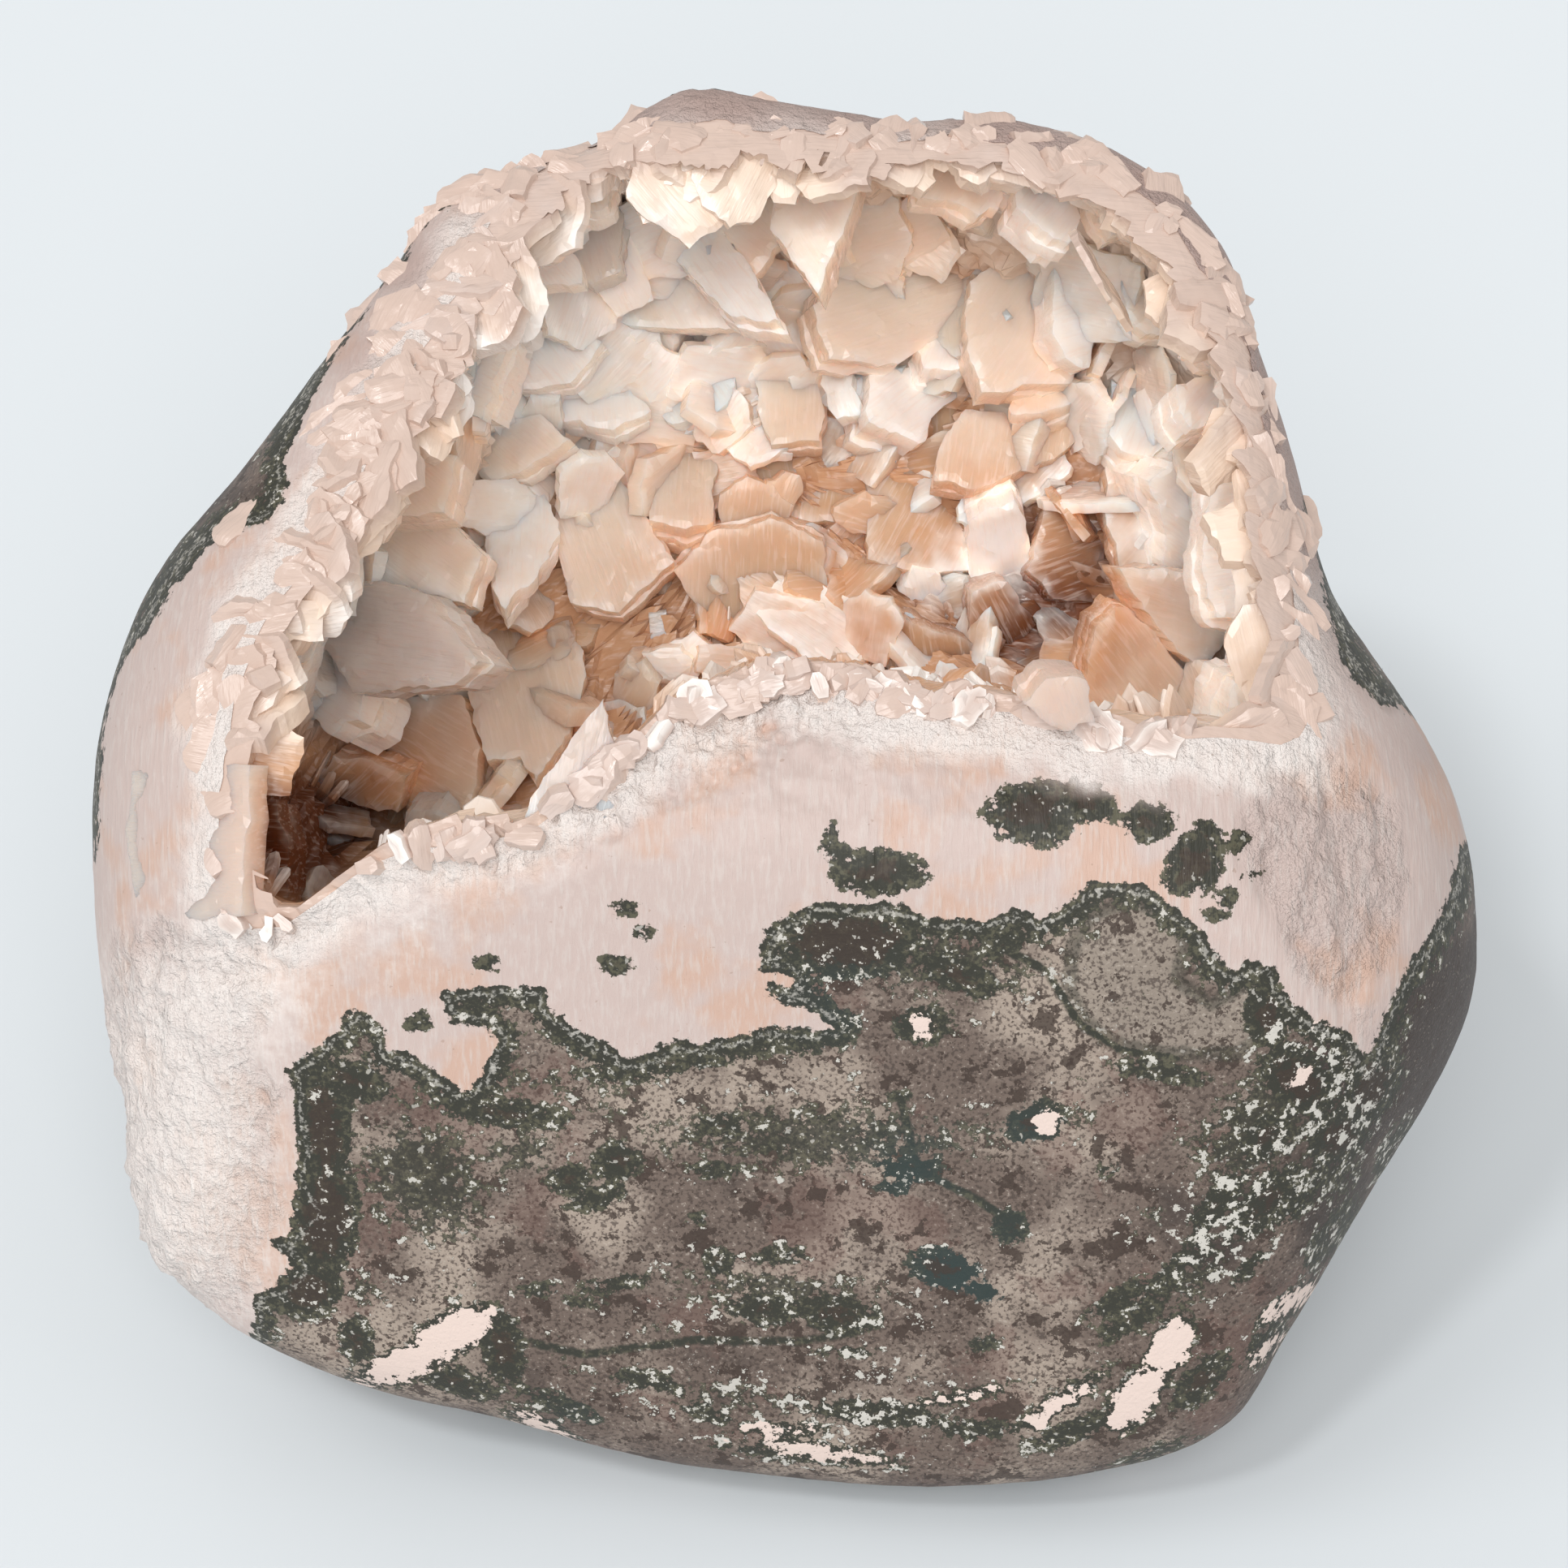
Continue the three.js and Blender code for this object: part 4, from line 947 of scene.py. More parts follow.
def crystal_finish(name, clear, milky):
    """Peach crystal: paler where white is high, deeper where amber is, darker at the rim as painted
    shade.

    clear is how much light goes through, and milky how much scatters inside.
    """
    material, start = finish(name)
    grain = start.node("Attribute", {"attribute_name": "grain"}, {}, "Vector")
    lengthwise = start.node("VectorMath", {"operation": "MULTIPLY"}, {0: grain, 1: (0.2, 2.2, 1)})
    streaks = start.speckle(lengthwise, 0.9, 2)
    clouds = start.speckle(grain, 3, 2)
    amber = start.field("amber") + (clouds - 0.5) * 0.3
    white = start.field("white")
    colour = start.paint(
        CREAM,
        # Amber is partly the crystal's own tint and partly painted shade in the gaps; past 1 it is
        # the painted shade of the deep pocket.
        (amber.above(0, 1), AMBER),
        (amber.above(1, 2), CAVE_SHADE),
        ((white + clouds * 0.7 - 0.35).above(0.1, 0.9), FROST),
        (streaks.above(0.5, 0.7) * 0.3, ROSE),
        # painted shade: crystals that are not white get a darker tint near the stone's outside
        (start.field("rim") * (1 - white.above(0.7, 1)) * 0.8, RIM_SHADE_TINT),
    )
    start.show(start.node("BsdfPrincipled", {"subsurface_method": "BURLEY"}, {
        "Base Color": colour, "Roughness": 0.1 + clouds * 0.25, "IOR": REFRACTION,
        "Normal": start.bump(streaks + clouds * 2, CRYSTAL_BUMP),
        "Transmission Weight": clear, "Subsurface Weight": milky,
        "Subsurface Radius": SCATTER_REACH, "Subsurface Scale": MM,
    }))
    return material


milky_crystal = crystal_finish("milky_heulandite", 0, 0.7)
clear_crystal = crystal_finish("clear_heulandite", 0.35, 0.5)
frosty_crystal = crystal_finish("frosty_heulandite", 0, 0)

crust_ground = solid("crust_ground", *hollow(HOLLOW_SIDES, 0, rough=WALL_ROUGHNESS))
smooth_wall = hollow(CRUST_SIDES, CRUST_THICKNESS, bowl_rings=CRUST_BOWL_RINGS)
crust_wall = solid("crust_wall", *facing_in(*smooth_wall))
under_rim = solid("under_rim", *skin(STONE_STEPS, -SKIN_MARGIN - RIM_STEP, relief=True))
cut(crust_ground, ("DIFFERENCE", crust_wall), ("INTERSECT", under_rim))
remove(crust_wall, under_rim, space)

# Where painted shade makes the crystals deeper in colour, and where they are paler, partly whiter
# crystal and partly painted light: x, y and radius in pixels, and how much.
DEEP_SHADE_ZONES = [
    (365, 1035, 85, 2.4), (300, 960, 45, 0.6), (460, 955, 70, 0.7), (700, 900, 150, 0.3),
    (950, 700, 200, 0.6), (1250, 720, 190, 1.0), (1340, 590, 90, 0.25), (1310, 750, 55, 0.7),
    (1050, 490, 35, 0.6), (480, 740, 140, 0.12), (790, 920, 40, 0.5), (1000, 870, 90, 0.3),
    (830, 290, 50, 0.15), (1480, 540, 30, 0.4), (1490, 860, 60, 0.2), (760, 400, 60, 0.12),
    (640, 790, 60, 0.2), (1250, 830, 90, 0.3),
]
# The pale zones are partly whiter crystal and partly painted light, chiefly in the bowl's upper
# part, which lies in the rim's shade.
PALE_AND_LIT_ZONES = [
    (700, 370, 160, 0.6), (450, 770, 110, 0.5),
    (600, 270, 120, 0.5), (600, 450, 70, 0.8), (700, 230, 60, 0.6), (830, 250, 60, 0.6),
    (880, 340, 50, 0.4), (860, 470, 70, 0.35), (1260, 185, 60, 0.9), (1290, 250, 60, 0.7),
    (1450, 330, 90, 0.4), (1490, 500, 90, 0.5), (1560, 720, 90, 0.6), (1440, 640, 60, 0.5),
    (1230, 680, 50, 0.6), (1150, 720, 40, 0.4), (1110, 480, 60, 0.4), (1330, 370, 60, 0.4),
    (440, 840, 70, 0.5), (480, 770, 90, 0.3), (640, 640, 50, 0.3), (990, 220, 70, 0.3),
    (1550, 870, 70, 0.5), (1380, 500, 50, 0.5), (500, 400, 120, 0.4), (230, 760, 110, 0.4),
]


def above_floor(places):
    """mm from each view place straight down to the hollow's floor."""
    away = places[:, :2] - hollow_centre
    reach = rim_radius(np.arctan2(away[:, 1], away[:, 0]))
    share = np.minimum(1, np.linalg.norm(away, axis=1) / reach)
    return places[:, 2] - RIM_LEVEL + floor_depth(places[:, :2]) * floor_bend(share)


def near_rim(points):
    """1 at the stone's outside, where the crystals are broken and frosty and get a darker tint as
    painted shade, 0 from 4 mm inside.
    """
    reach, surface = reaches(points - MIDDLE)
    return smooth_step(4, 0.5, surface - reach)


def lay_fields(mesh, white, amber, grain):
    """Colours by place, on top of a crystal's own: painted shade near the floor, in the deep zones
    and at the rim, and in the pale zones whiter crystal with painted light; grain is where it reads
    its streaks.
    """
    points = read_points(mesh).astype(float) / MM
    rim = near_rim(points)
    inner = 1 - 0.8 * rim
    # Painted shade: the crystals turn amber in the gaps near the hollow's floor.
    deep = smooth_step(GAP_SHADE_HEIGHT, 1, above_floor(to_view(points)))
    give_fields(mesh, {
        "rim": rim,
        "white": white + 0.1 + zones(points, PALE_AND_LIT_ZONES) * inner,
        "amber": amber + (0.7 * deep + zones(points, DEEP_SHADE_ZONES)) * inner,
    })
    mesh.attributes.new("grain", "FLOAT_VECTOR", "POINT").data.foreach_set("vector", grain.ravel())


# The crust's ground between the blades is deeper in colour: painted shade, so that the gaps look
# dark.
GROUND_SHADE_AMBER = 0.2
ground_points = read_points(crust_ground.data).astype(float) / MM
ground_white = cloud(ground_points, 5, 3, 6.0) * 0.3
lay_fields(crust_ground.data, ground_white, GROUND_SHADE_AMBER, ground_points)
cover(crust_ground.data, frosty_crystal)
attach(crust_ground, "root")
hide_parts("crystal_crust")

# THE LARGE BLADES
# Tabular crystals that the photograph shows one by one. Each is a stack of one to three thin
# plates with notched edges and a stepped face, and its lowest corner grows from the wall.

# Direction in the view in which the plate rises to the eye, degrees by which it rises, mm of
# thickness, how it looks, and the corners of its face in pixels.
BLADES = [
    (265, 26, 4, "peach", [(790, 200), (824, 232), (866, 192), (846, 166), (838, 132),
     (800, 150)]),
    (285, 24, 3.5, "clear", [(700, 250), (768, 250), (767, 330), (728, 346), (700, 322),
     (688, 280)]),
    (310, 22, 3, "pale", [(582, 268), (655, 252), (712, 318), (716, 346), (640, 354), (606, 305)]),
    (305, 30, 5, "pale", [(790, 245), (845, 232), (882, 270), (932, 340), (962, 396), (900, 388),
     (850, 335), (798, 285)]),
    (300, 16, 4, "peach", [(770, 300), (850, 322), (940, 365), (962, 400), (860, 404), (750, 396),
     (742, 350)]),
    (300, 28, 5, "peach", [(970, 166), (1000, 168), (1062, 192), (1050, 245), (1008, 362),
     (985, 330), (948, 280), (962, 205)]),
    (200, 24, 6, "peach", [(1002, 375), (1022, 338), (1092, 294), (1150, 300), (1200, 342),
     (1196, 388), (1108, 447), (1022, 442)]),
    (250, 34, 6, "pale", [(1150, 385), (1186, 377), (1212, 402), (1196, 442), (1180, 456),
     (1138, 452), (1128, 420)]),
    (220, 32, 7, "pale", [(1073, 450), (1148, 446), (1192, 470), (1150, 512), (1132, 546),
     (1104, 532), (1068, 522)]),
    (270, 24, 4, "peach", [(966, 408), (992, 420), (1016, 500), (1010, 542), (950, 545),
     (932, 500), (936, 446)]),
    (300, 28, 4.5, "pale", [(802, 450), (870, 424), (902, 446), (900, 490), (878, 514), (828, 521),
     (800, 500)]),
    (275, 30, 3.5, "pale", [(658, 482), (740, 484), (776, 477), (802, 504), (756, 528), (715, 516),
     (652, 510)]),
    (330, 34, 6, "white", [(585, 400), (606, 397), (625, 416), (612, 452), (594, 516), (560, 506),
     (553, 468), (568, 430)]),
    (310, 20, 4, "pale", [(640, 398), (700, 400), (742, 420), (702, 470), (640, 480), (608, 450)]),
    (290, 30, 4, "white", [(680, 214), (716, 206), (760, 200), (748, 250), (700, 264),
     (672, 240)]),
    (320, 20, 4, "peach", [(830, 225), (900, 224), (950, 240), (958, 300), (930, 338),
     (880, 272)]),
    (235, 30, 4, "peach", [(1130, 192), (1156, 165), (1182, 165), (1236, 236), (1230, 257),
     (1206, 265), (1178, 246), (1134, 240)]),
    (250, 42, 6, "white", [(1222, 162), (1250, 152), (1275, 156), (1290, 186), (1262, 214),
     (1240, 206), (1233, 184)]),
    (230, 34, 6, "white", [(1256, 212), (1290, 194), (1326, 240), (1330, 272), (1318, 298),
     (1298, 292), (1254, 252)]),
    (225, 26, 4, "peach", [(1350, 226), (1376, 214), (1434, 260), (1400, 276), (1370, 289),
     (1353, 260)]),
    (215, 30, 4, "peach", [(1382, 328), (1400, 321), (1436, 340), (1464, 392), (1450, 411),
     (1414, 410), (1390, 386)]),
    (200, 30, 5, "pale", [(1300, 325), (1344, 303), (1362, 340), (1354, 378), (1342, 452),
     (1318, 446), (1296, 410)]),
    (235, 22, 5, "peach", [(1196, 344), (1240, 308), (1290, 338), (1302, 430), (1330, 446),
     (1318, 472), (1210, 482), (1190, 430)]),
    (265, 36, 4, "peach", [(1248, 484), (1318, 474), (1346, 450), (1342, 482), (1300, 502),
     (1246, 508)]),
    (245, 30, 6, "pale", [(1370, 466), (1400, 474), (1426, 482), (1437, 546), (1420, 563),
     (1390, 556), (1368, 532)]),
    (225, 38, 6, "pale", [(1450, 472), (1515, 450), (1537, 470), (1530, 500), (1498, 516),
     (1470, 526), (1454, 504)]),
    (215, 30, 5, "pale", [(1510, 508), (1546, 500), (1562, 530), (1579, 566), (1572, 583),
     (1538, 576), (1508, 540)]),
    (205, 26, 4, "peach", [(1455, 300), (1490, 308), (1518, 350), (1532, 440), (1500, 452),
     (1470, 430), (1464, 380)]),
    (260, 20, 5, "peach", [(1190, 500), (1252, 506), (1334, 490), (1346, 520), (1300, 562),
     (1200, 602), (1150, 592), (1160, 545)]),
    (240, 18, 5, "peach", [(1070, 560), (1150, 558), (1188, 600), (1196, 700), (1130, 704),
     (1068, 690)]),
    (100, 40, 8, "white", [(1191, 672), (1193, 645), (1222, 625), (1250, 614), (1264, 640),
     (1273, 694), (1236, 714), (1200, 736)]),
    (110, 38, 4, "pale", [(1108, 730), (1126, 700), (1152, 704), (1172, 736), (1160, 748),
     (1130, 752)]),
    (200, 22, 4, "amber", [(1290, 622), (1330, 610), (1352, 650), (1372, 742), (1300, 736),
     (1268, 700)]),
    (150, 34, 8, "pale", [(1416, 592), (1442, 568), (1470, 560), (1500, 574), (1494, 622),
     (1478, 704), (1436, 700), (1440, 660)]),
    (190, 20, 5, "pale", [(1500, 562), (1540, 580), (1592, 652), (1586, 722), (1542, 770),
     (1500, 760), (1482, 700)]),
    (165, 34, 5, "peach", [(1381, 700), (1440, 700), (1516, 710), (1541, 752), (1520, 790),
     (1486, 822), (1454, 804), (1408, 750)]),
    (130, 28, 6, "peach", [(1350, 772), (1376, 748), (1400, 760), (1464, 830), (1450, 862),
     (1400, 898), (1358, 894), (1328, 880)]),
    (170, 26, 4, "pale", [(1534, 786), (1580, 790), (1591, 842), (1540, 846), (1528, 820)]),
    (140, 34, 7, "pale", [(1524, 840), (1560, 837), (1610, 850), (1618, 884), (1600, 904),
     (1508, 904), (1512, 870)]),
    (120, 26, 5, "amber", [(1198, 730), (1240, 715), (1277, 770), (1250, 802), (1188, 792)]),
    (100, 24, 5, "amber", [(1100, 760), (1190, 788), (1242, 830), (1230, 868), (1150, 862),
     (1088, 820)]),
    (270, 34, 5, "pale", [(594, 590), (620, 568), (666, 590), (690, 650), (677, 682), (623, 752),
     (609, 730), (600, 690)]),
    (90, 22, 7, "peach", [(830, 702), (870, 658), (950, 638), (1014, 668), (1026, 745),
     (1000, 792), (930, 800), (862, 748)]),
    (270, 30, 6, "peach", [(818, 540), (860, 520), (882, 560), (879, 640), (845, 652), (800, 642),
     (798, 600)]),
    (280, 16, 5, "peach", [(870, 530), (950, 520), (992, 560), (962, 620), (900, 640),
     (880, 600)]),
    (290, 16, 5, "peach", [(690, 560), (740, 556), (800, 640), (830, 690), (762, 752), (702, 740),
     (680, 650)]),
    (260, 20, 5, "peach", [(958, 590), (1000, 560), (1062, 580), (1052, 642), (990, 642),
     (954, 626)]),
    (285, 28, 6, "peach", [(575, 850), (600, 770), (700, 760), (722, 830), (702, 900), (660, 962),
     (640, 930), (600, 936)]),
    (60, 30, 5, "peach", [(755, 832), (790, 815), (812, 842), (800, 892), (770, 890), (752, 860)]),
    (320, 28, 4, "peach", [(600, 515), (665, 508), (702, 540), (640, 582), (598, 590),
     (580, 560)]),
    (350, 40, 7, "clear", [(365, 780), (400, 735), (450, 714), (522, 730), (596, 815), (560, 843),
     (430, 852), (398, 800)]),
    (330, 44, 8, "white", [(380, 850), (395, 812), (430, 800), (456, 842), (442, 886), (410, 906),
     (384, 882)]),
    (320, 30, 5, "peach", [(400, 600), (430, 560), (500, 544), (562, 560), (546, 630), (480, 636),
     (420, 642)]),
    (325, 24, 5, "peach", [(420, 682), (450, 650), (552, 640), (592, 680), (572, 742), (500, 720),
     (430, 722)]),
    (330, 30, 6, "amber", [(460, 880), (480, 850), (570, 856), (592, 920), (580, 1000),
     (540, 1020), (500, 1000), (480, 940)]),
    (10, 40, 4, "peach", [(268, 890), (322, 905), (306, 940), (272, 946)]),
    (0, 24, 5, "amber", [(305, 990), (340, 984), (356, 1040), (350, 1126), (300, 1124),
     (296, 1060)]),
    (40, 30, 5, "amber", [(375, 960), (410, 930), (470, 945), (502, 955), (490, 1000),
     (440, 992)]),
    (60, 34, 5, "clear", [(494, 1040), (500, 1000), (540, 996), (562, 1010), (556, 1040)]),
    (20, 26, 5, "peach", [(330, 800), (372, 700), (402, 660), (412, 700), (372, 800), (350, 880),
     (322, 890)]),
    (330, 24, 5, "peach", [(440, 500), (520, 470), (548, 500), (520, 546), (450, 560),
     (418, 550)]),
    (90, 26, 5, "peach", [(900, 850), (930, 812), (1000, 800), (1060, 812), (1080, 850),
     (990, 870)]),
    (110, 30, 5, "peach", [(1262, 868), (1290, 838), (1340, 840), (1350, 890), (1310, 900)]),
    (230, 20, 4, "peach", [(1370, 560), (1420, 580), (1440, 650), (1430, 700), (1382, 700),
     (1360, 620)]),
]
FLUSH_PLATES = [  # the same, but they lie flat on the stone
    (0, 0, 3, "peach", [(160, 950), (230, 935), (306, 942), (303, 1040), (298, 1128), (230, 1132),
     (165, 1110), (150, 1030)]),
]
FLUSH_RISE = 1
LIP_BLADE = (80, 4, 8, "pale", [
    (742, 863), (750, 900), (766, 970), (752, 1060), (660, 1060), (634, 1040), (668, 960),
])
LIP_BLADE_PIXEL = (735, 1010)
LOOKS = {  # how white and how amber each look is
    "peach": (0, 0.05), "white": (0.8, -0.3), "pale": (0.35, -0.12), "amber": (-0.1, 0.3),
    "clear": (0.5, -0.3),
}
ROOT_RISE, LIP_ROOT = 2.5, 1.5  # mm before the wall of the nearest corner, and mm in the lip
FACE_GRID = 0.8  # mm between the corners of a blade's face
NOTCH, STEP_HEIGHT = 0.28, 0.22  # mm
EDGE_FALL, EDGE_WIDTH = 0.25, 0.3  # mm by which a face falls to its edge
BACK_SHRINK = 0.015  # how much smaller a plate's back is than its face
THICKER = (3.2, 5.5)  # mm from which a blade has a second and a third plate
LAYER_SHIFT = 0.35  # mm
LAYER_WIDEN = (-0.08, 0.02)
# How much whiter a plate is at its edges: partly frost, partly a painted highlight along the lit
# edges.
EDGE_FROST_AND_LIGHT = 0.25
PASSED = 1 - FRONT_DEPTH  # mm; what is no nearer than this lies past the stone
FLUSH_SEED, LIP_SEED, SHEAF_SEED, RIM_SEED = 101, 99, 200, 700


def hollow_floor(place):
    """Where the sight line through a place of the middle's depth meets the hollow's floor."""
    near = RIM_LEVEL - FLOOR_DEPTH
    for _ in range(6):
        flat = np.asarray(place) * (1 - near / EYE)
        angle = math.atan2(*(flat - hollow_centre)[::-1])
        reach = rim_radius(np.array([angle]))[0]
        share = min(1, np.linalg.norm(flat - hollow_centre) / reach)
        near = RIM_LEVEL - floor_depth(flat) * floor_bend(share)
    return near


def inside_stone(points):
    """Whether each point is inside the stone, as if it had no hollow."""
    reach, surface = reaches(points - MIDDLE)
    return reach < surface - SKIN_MARGIN


def stone_front(place):
    """The depth at which the sight line through a place first meets the stone."""
    levels = np.arange(LINING_FRONT_LEVEL, -FRONT_DEPTH, -0.25)
    held = inside_stone(to_world(at_depth(np.tile(place, (len(levels), 1)), levels)))
    return levels[held.argmax()] if held.any() else -FRONT_DEPTH


def wall_level(place):
    """The depth of what the eye meets through a place, and whether that is in the hollow."""
    front = stone_front(place)
    away = np.asarray(place) * (1 - front / EYE) - hollow_centre
    angle = np.array([math.atan2(away[1], away[0])])
    if np.linalg.norm(away) < hollow_radius(angle)[0]:
        return hollow_floor(place), True
    return front, False


UNDER_SKIN = 2  # mm that the crystals of the bowl stay under the stone's outside
BEHIND_RIM = -3  # mm before the stone's middle, below which that holds


def kept_under(points):
    """The points behind the rim, moved in where they would come out of the stone's back."""
    out = points - MIDDLE
    reach, surface = reaches(out)
    allowed = np.minimum(1, (surface - UNDER_SKIN) / reach)
    share = np.where(to_view(points)[:, 2] < BEHIND_RIM, allowed, 1)
    return MIDDLE + out * share[:, None]


class Pile:
    """The corners, faces and fields of many crystals that become one mesh."""

    def __init__(self):
        self.points, self.faces, self.white, self.amber, self.grain = [], [], [], [], []
        self.count = 0

    def add(self, points, faces, white, amber, grain):
        self.faces += [[self.count + i for i in face] for face in faces]
        self.points.append(points)
        self.white.append(np.broadcast_to(white, len(points)))
        self.amber.append(np.broadcast_to(amber, len(points)))
        self.grain.append(grain)
        self.count += len(points)

    def piece(self, name, material):
        """The crystals as one mesh that takes the crust's place."""
        made = new_piece(name, kept_under(np.concatenate(self.points)), self.faces)
        own = (self.white, self.amber, self.grain)
        lay_fields(made.data, *(np.concatenate(part) for part in own))
        cover(made.data, material)
        shade_soft(made.data, CRYSTAL_EDGE)
        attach(made, "root")
        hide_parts("crystal_crust")


def notched(corners, seed):
    """An outline cut into short steps, its sides notched as cleaved crystal is."""
    made = []
    for a, b in zip(corners, np.roll(corners, -1, axis=0)):
        length = np.linalg.norm(b - a)
        out = np.array([b[1] - a[1], a[0] - b[0]]) / length
        steps = max(1, round(length / FACE_GRID))
        for k in range(steps):
            t = k / steps
            at = a + (b - a) * t
            taper = min(1, 5 * min(t, 1 - t))
            wave = noise.fractal((at[0] * 0.3, at[1] * 0.3, seed), 0.7, 2.2, 3)
            made.append(at + out * taper * NOTCH * (round(wave * 3) / 2 + wave * 0.5))
    return np.array(made)


def stepped_face(corners, thickness, seed):
    """A blade in its own plane: its stepped face, its side and its back; mm along, over, up."""
    outline = notched(corners, seed)
    count = len(outline)
    low, high = outline.min(axis=0), outline.max(axis=0)
    grid = np.mgrid[low[0]:high[0]:FACE_GRID, low[1]:high[1]:FACE_GRID].reshape(2, -1).T
    rng = np.random.default_rng(int(seed * 10))
    grid = grid + rng.uniform(-0.2, 0.2, grid.shape) * FACE_GRID
    within = inside_distance(grid, [tuple(p) for p in outline])
    grid = grid[within > FACE_GRID * 0.55]
    every = [Vector(p) for p in np.concatenate([outline, grid])]
    loop = [(i, (i + 1) % count) for i in range(count)]
    flat, _, faces, origin, _, _ = geometry.delaunay_2d_cdt(every, loop, [], 1, 1e-4)
    flat = np.array([tuple(p) for p in flat])
    edge = np.maximum(0, inside_distance(flat, [tuple(p) for p in outline]))
    waves = [noise.fractal((x * 0.09, y * 0.16, seed + 4), 0.8, 2, 4) for x, y in flat]
    swell = np.array(waves) * 3
    terrace = np.floor(swell) + smooth_step(0.3, 0.7, swell - np.floor(swell))
    up = STEP_HEIGHT * terrace - EDGE_FALL * np.exp(-((edge / EDGE_WIDTH) ** 2))
    at = {}
    for k, sources in enumerate(origin):
        for source in sources:
            at.setdefault(source, k)
    ring = [at[i] for i in range(count)]
    faces = [list(face) for face in faces]
    top = len(flat)
    back = flat[ring] * (1 - BACK_SHRINK) + outline.mean(axis=0) * BACK_SHRINK
    points = np.concatenate([
        np.column_stack([flat, up]),
        np.column_stack([back, np.full(count, -thickness)]),
    ])
    for i in range(count):
        j = (i + 1) % count
        if ring[i] != ring[j]:
            faces.append([ring[i], top + i, top + j, ring[j]])
    faces.append([top + count - 1 - i for i in range(count)])
    return points, faces, edge


def stack(pile, middle, axes, ring, thickness, seed, white, amber):
    """A blade as a stack of plates: its middle, its axes along, over and up, and its outline."""
    rng = np.random.default_rng(seed)
    layers = 1 + sum(thickness > limit for limit in THICKER)
    amber = amber + rng.uniform(-0.08, 0.08)
    for layer in range(layers):
        part = thickness / layers
        shift = rng.uniform(-LAYER_SHIFT, LAYER_SHIFT, 2) * (layer > 0)
        widen = 1 + layer * rng.uniform(*LAYER_WIDEN)
        points, faces, edge = stepped_face(ring * widen + shift, part, seed * 3.7 + layer)
        points[:, 2] -= part * layer
        # whiter towards the edges: frost with a painted highlight
        tint = white + rng.uniform(-0.1, 0.1) + EDGE_FROST_AND_LIGHT * np.exp(-edge)
        tint = np.concatenate([tint, np.full(len(points) - len(edge), white)])
        pile.add(middle + points @ axes, faces, tint, amber, points + rng.uniform(0, 50, 3))


def blade(pile, row, seed, lip_pixel=None, flush=False):
    """One row of the table as a blade. It may hang on the lip at a pixel, or lie flush."""
    direction, degrees, thickness, look, corners = row
    slope, turn = math.tan(math.radians(degrees)), math.radians(direction)
    climb = np.array([math.cos(turn), math.sin(turn)]) * slope
    flat = pixel_place(corners)
    anchors = pixel_place([lip_pixel] if lip_pixel else corners)
    if flush:
        fronts = np.array([stone_front(anchor) for anchor in anchors])
        table = np.column_stack([anchors, np.ones(len(anchors))])
        climb = np.linalg.lstsq(table, fronts, None)[0][:2]
        slope = np.linalg.norm(climb)
        turn = math.atan2(climb[1], climb[0])
        level = FLUSH_RISE + (fronts - anchors @ climb).mean()
    else:
        outer, inner = [], []
        for anchor in anchors:
            near, in_hollow = wall_level(anchor)
            if in_hollow:
                inner.append(near - anchor @ climb)
            elif near > PASSED:
                outer.append(near - anchor @ climb)
        level = max(outer if len(outer) > len(inner) else inner)
        level += -LIP_ROOT if lip_pixel else ROOT_RISE
    face = to_world(at_depth(flat, level + flat @ climb))
    middle = face.mean(axis=0)
    up = unit(RIGHT * -climb[0] + UP * -climb[1] + TO_EYE)
    along = unit(RIGHT * math.cos(turn) + UP * math.sin(turn) + TO_EYE * slope)
    frame_axes = np.array([along, np.cross(up, along), up])
    ring = ((face - middle) @ frame_axes.T)[:, :2]
    if np.cross(ring, np.roll(ring, -1, axis=0)).sum() < 0:
        ring = ring[::-1]
    stack(pile, middle, frame_axes, ring, thickness, seed, *LOOKS[look])


large, clear = Pile(), Pile()
for number, row in enumerate(BLADES):
    blade(clear if row[3] == "clear" else large, row, number + 1)
for number, row in enumerate(FLUSH_PLATES):
    blade(large, row, FLUSH_SEED + number, flush=True)
blade(large, LIP_BLADE, LIP_SEED, LIP_BLADE_PIXEL)
large.piece("large_blades", milky_crystal)
clear.piece("clear_blades", clear_crystal)

# THE MIDDLE-SIZED BLADES
# Coffin-shaped plates that turn their faces to the open side and grow through one another. They
# fill the bowl between the large ones, and lie broken and frosty over the rim and the lip.

COFFIN = np.array([
    (-0.8, -0.6), (0.4, -1), (0.85, -0.45), (0.95, 0.35), (0.45, 0.95), (-0.8, 0.65),
])
BOWL_SHEAVES, BOWL_LENGTH, BOWL_LEAN = 150, (8, 16), 0.4
SHEAF = 2  # plates
GOLDEN_TURN = 2.39996  # spreads the sheaves evenly
SHEAF_ROOT = (1, 4.5)  # mm before the wall
SHEAF_WHITES, SHEAF_AMBER = [-0.1, 0, 0.15, 0.4], (-0.1, 0.15)
SHEAF_SHORTER = (0.6, 1.1)
SHEAF_LEAN, SHEAF_STEP = 0.12, 1.6  # how far they lean and stand apart, in mm
PLATE_WIDTH, PLATE_THICKNESS = (0.45, 0.85), (1, 2.6)
RIM_PARTS = [  # degrees round the mouth, plates, mm long, mm from the mouth, how white
    ((-33, 213), 85, (7, 14), (-3, 4), (-0.7, -0.3)),
    ((115, 205), 45, (7, 14), (3, 12), (-0.5, 0)),
    ((-33, 213), 60, (3, 7), (-3, 2), (-0.5, 0.1)),
    ((213, 327), 90, (2.5, 6), (-2, 1), (0, 0.6)),
]
RIM_LEAN, RIM_AMBER = 0.3, (0, 0.25)
RIM_RISE = 0.8  # mm that a plate stands out from the stone
RIM_TOP = 119.8  # mm above the base


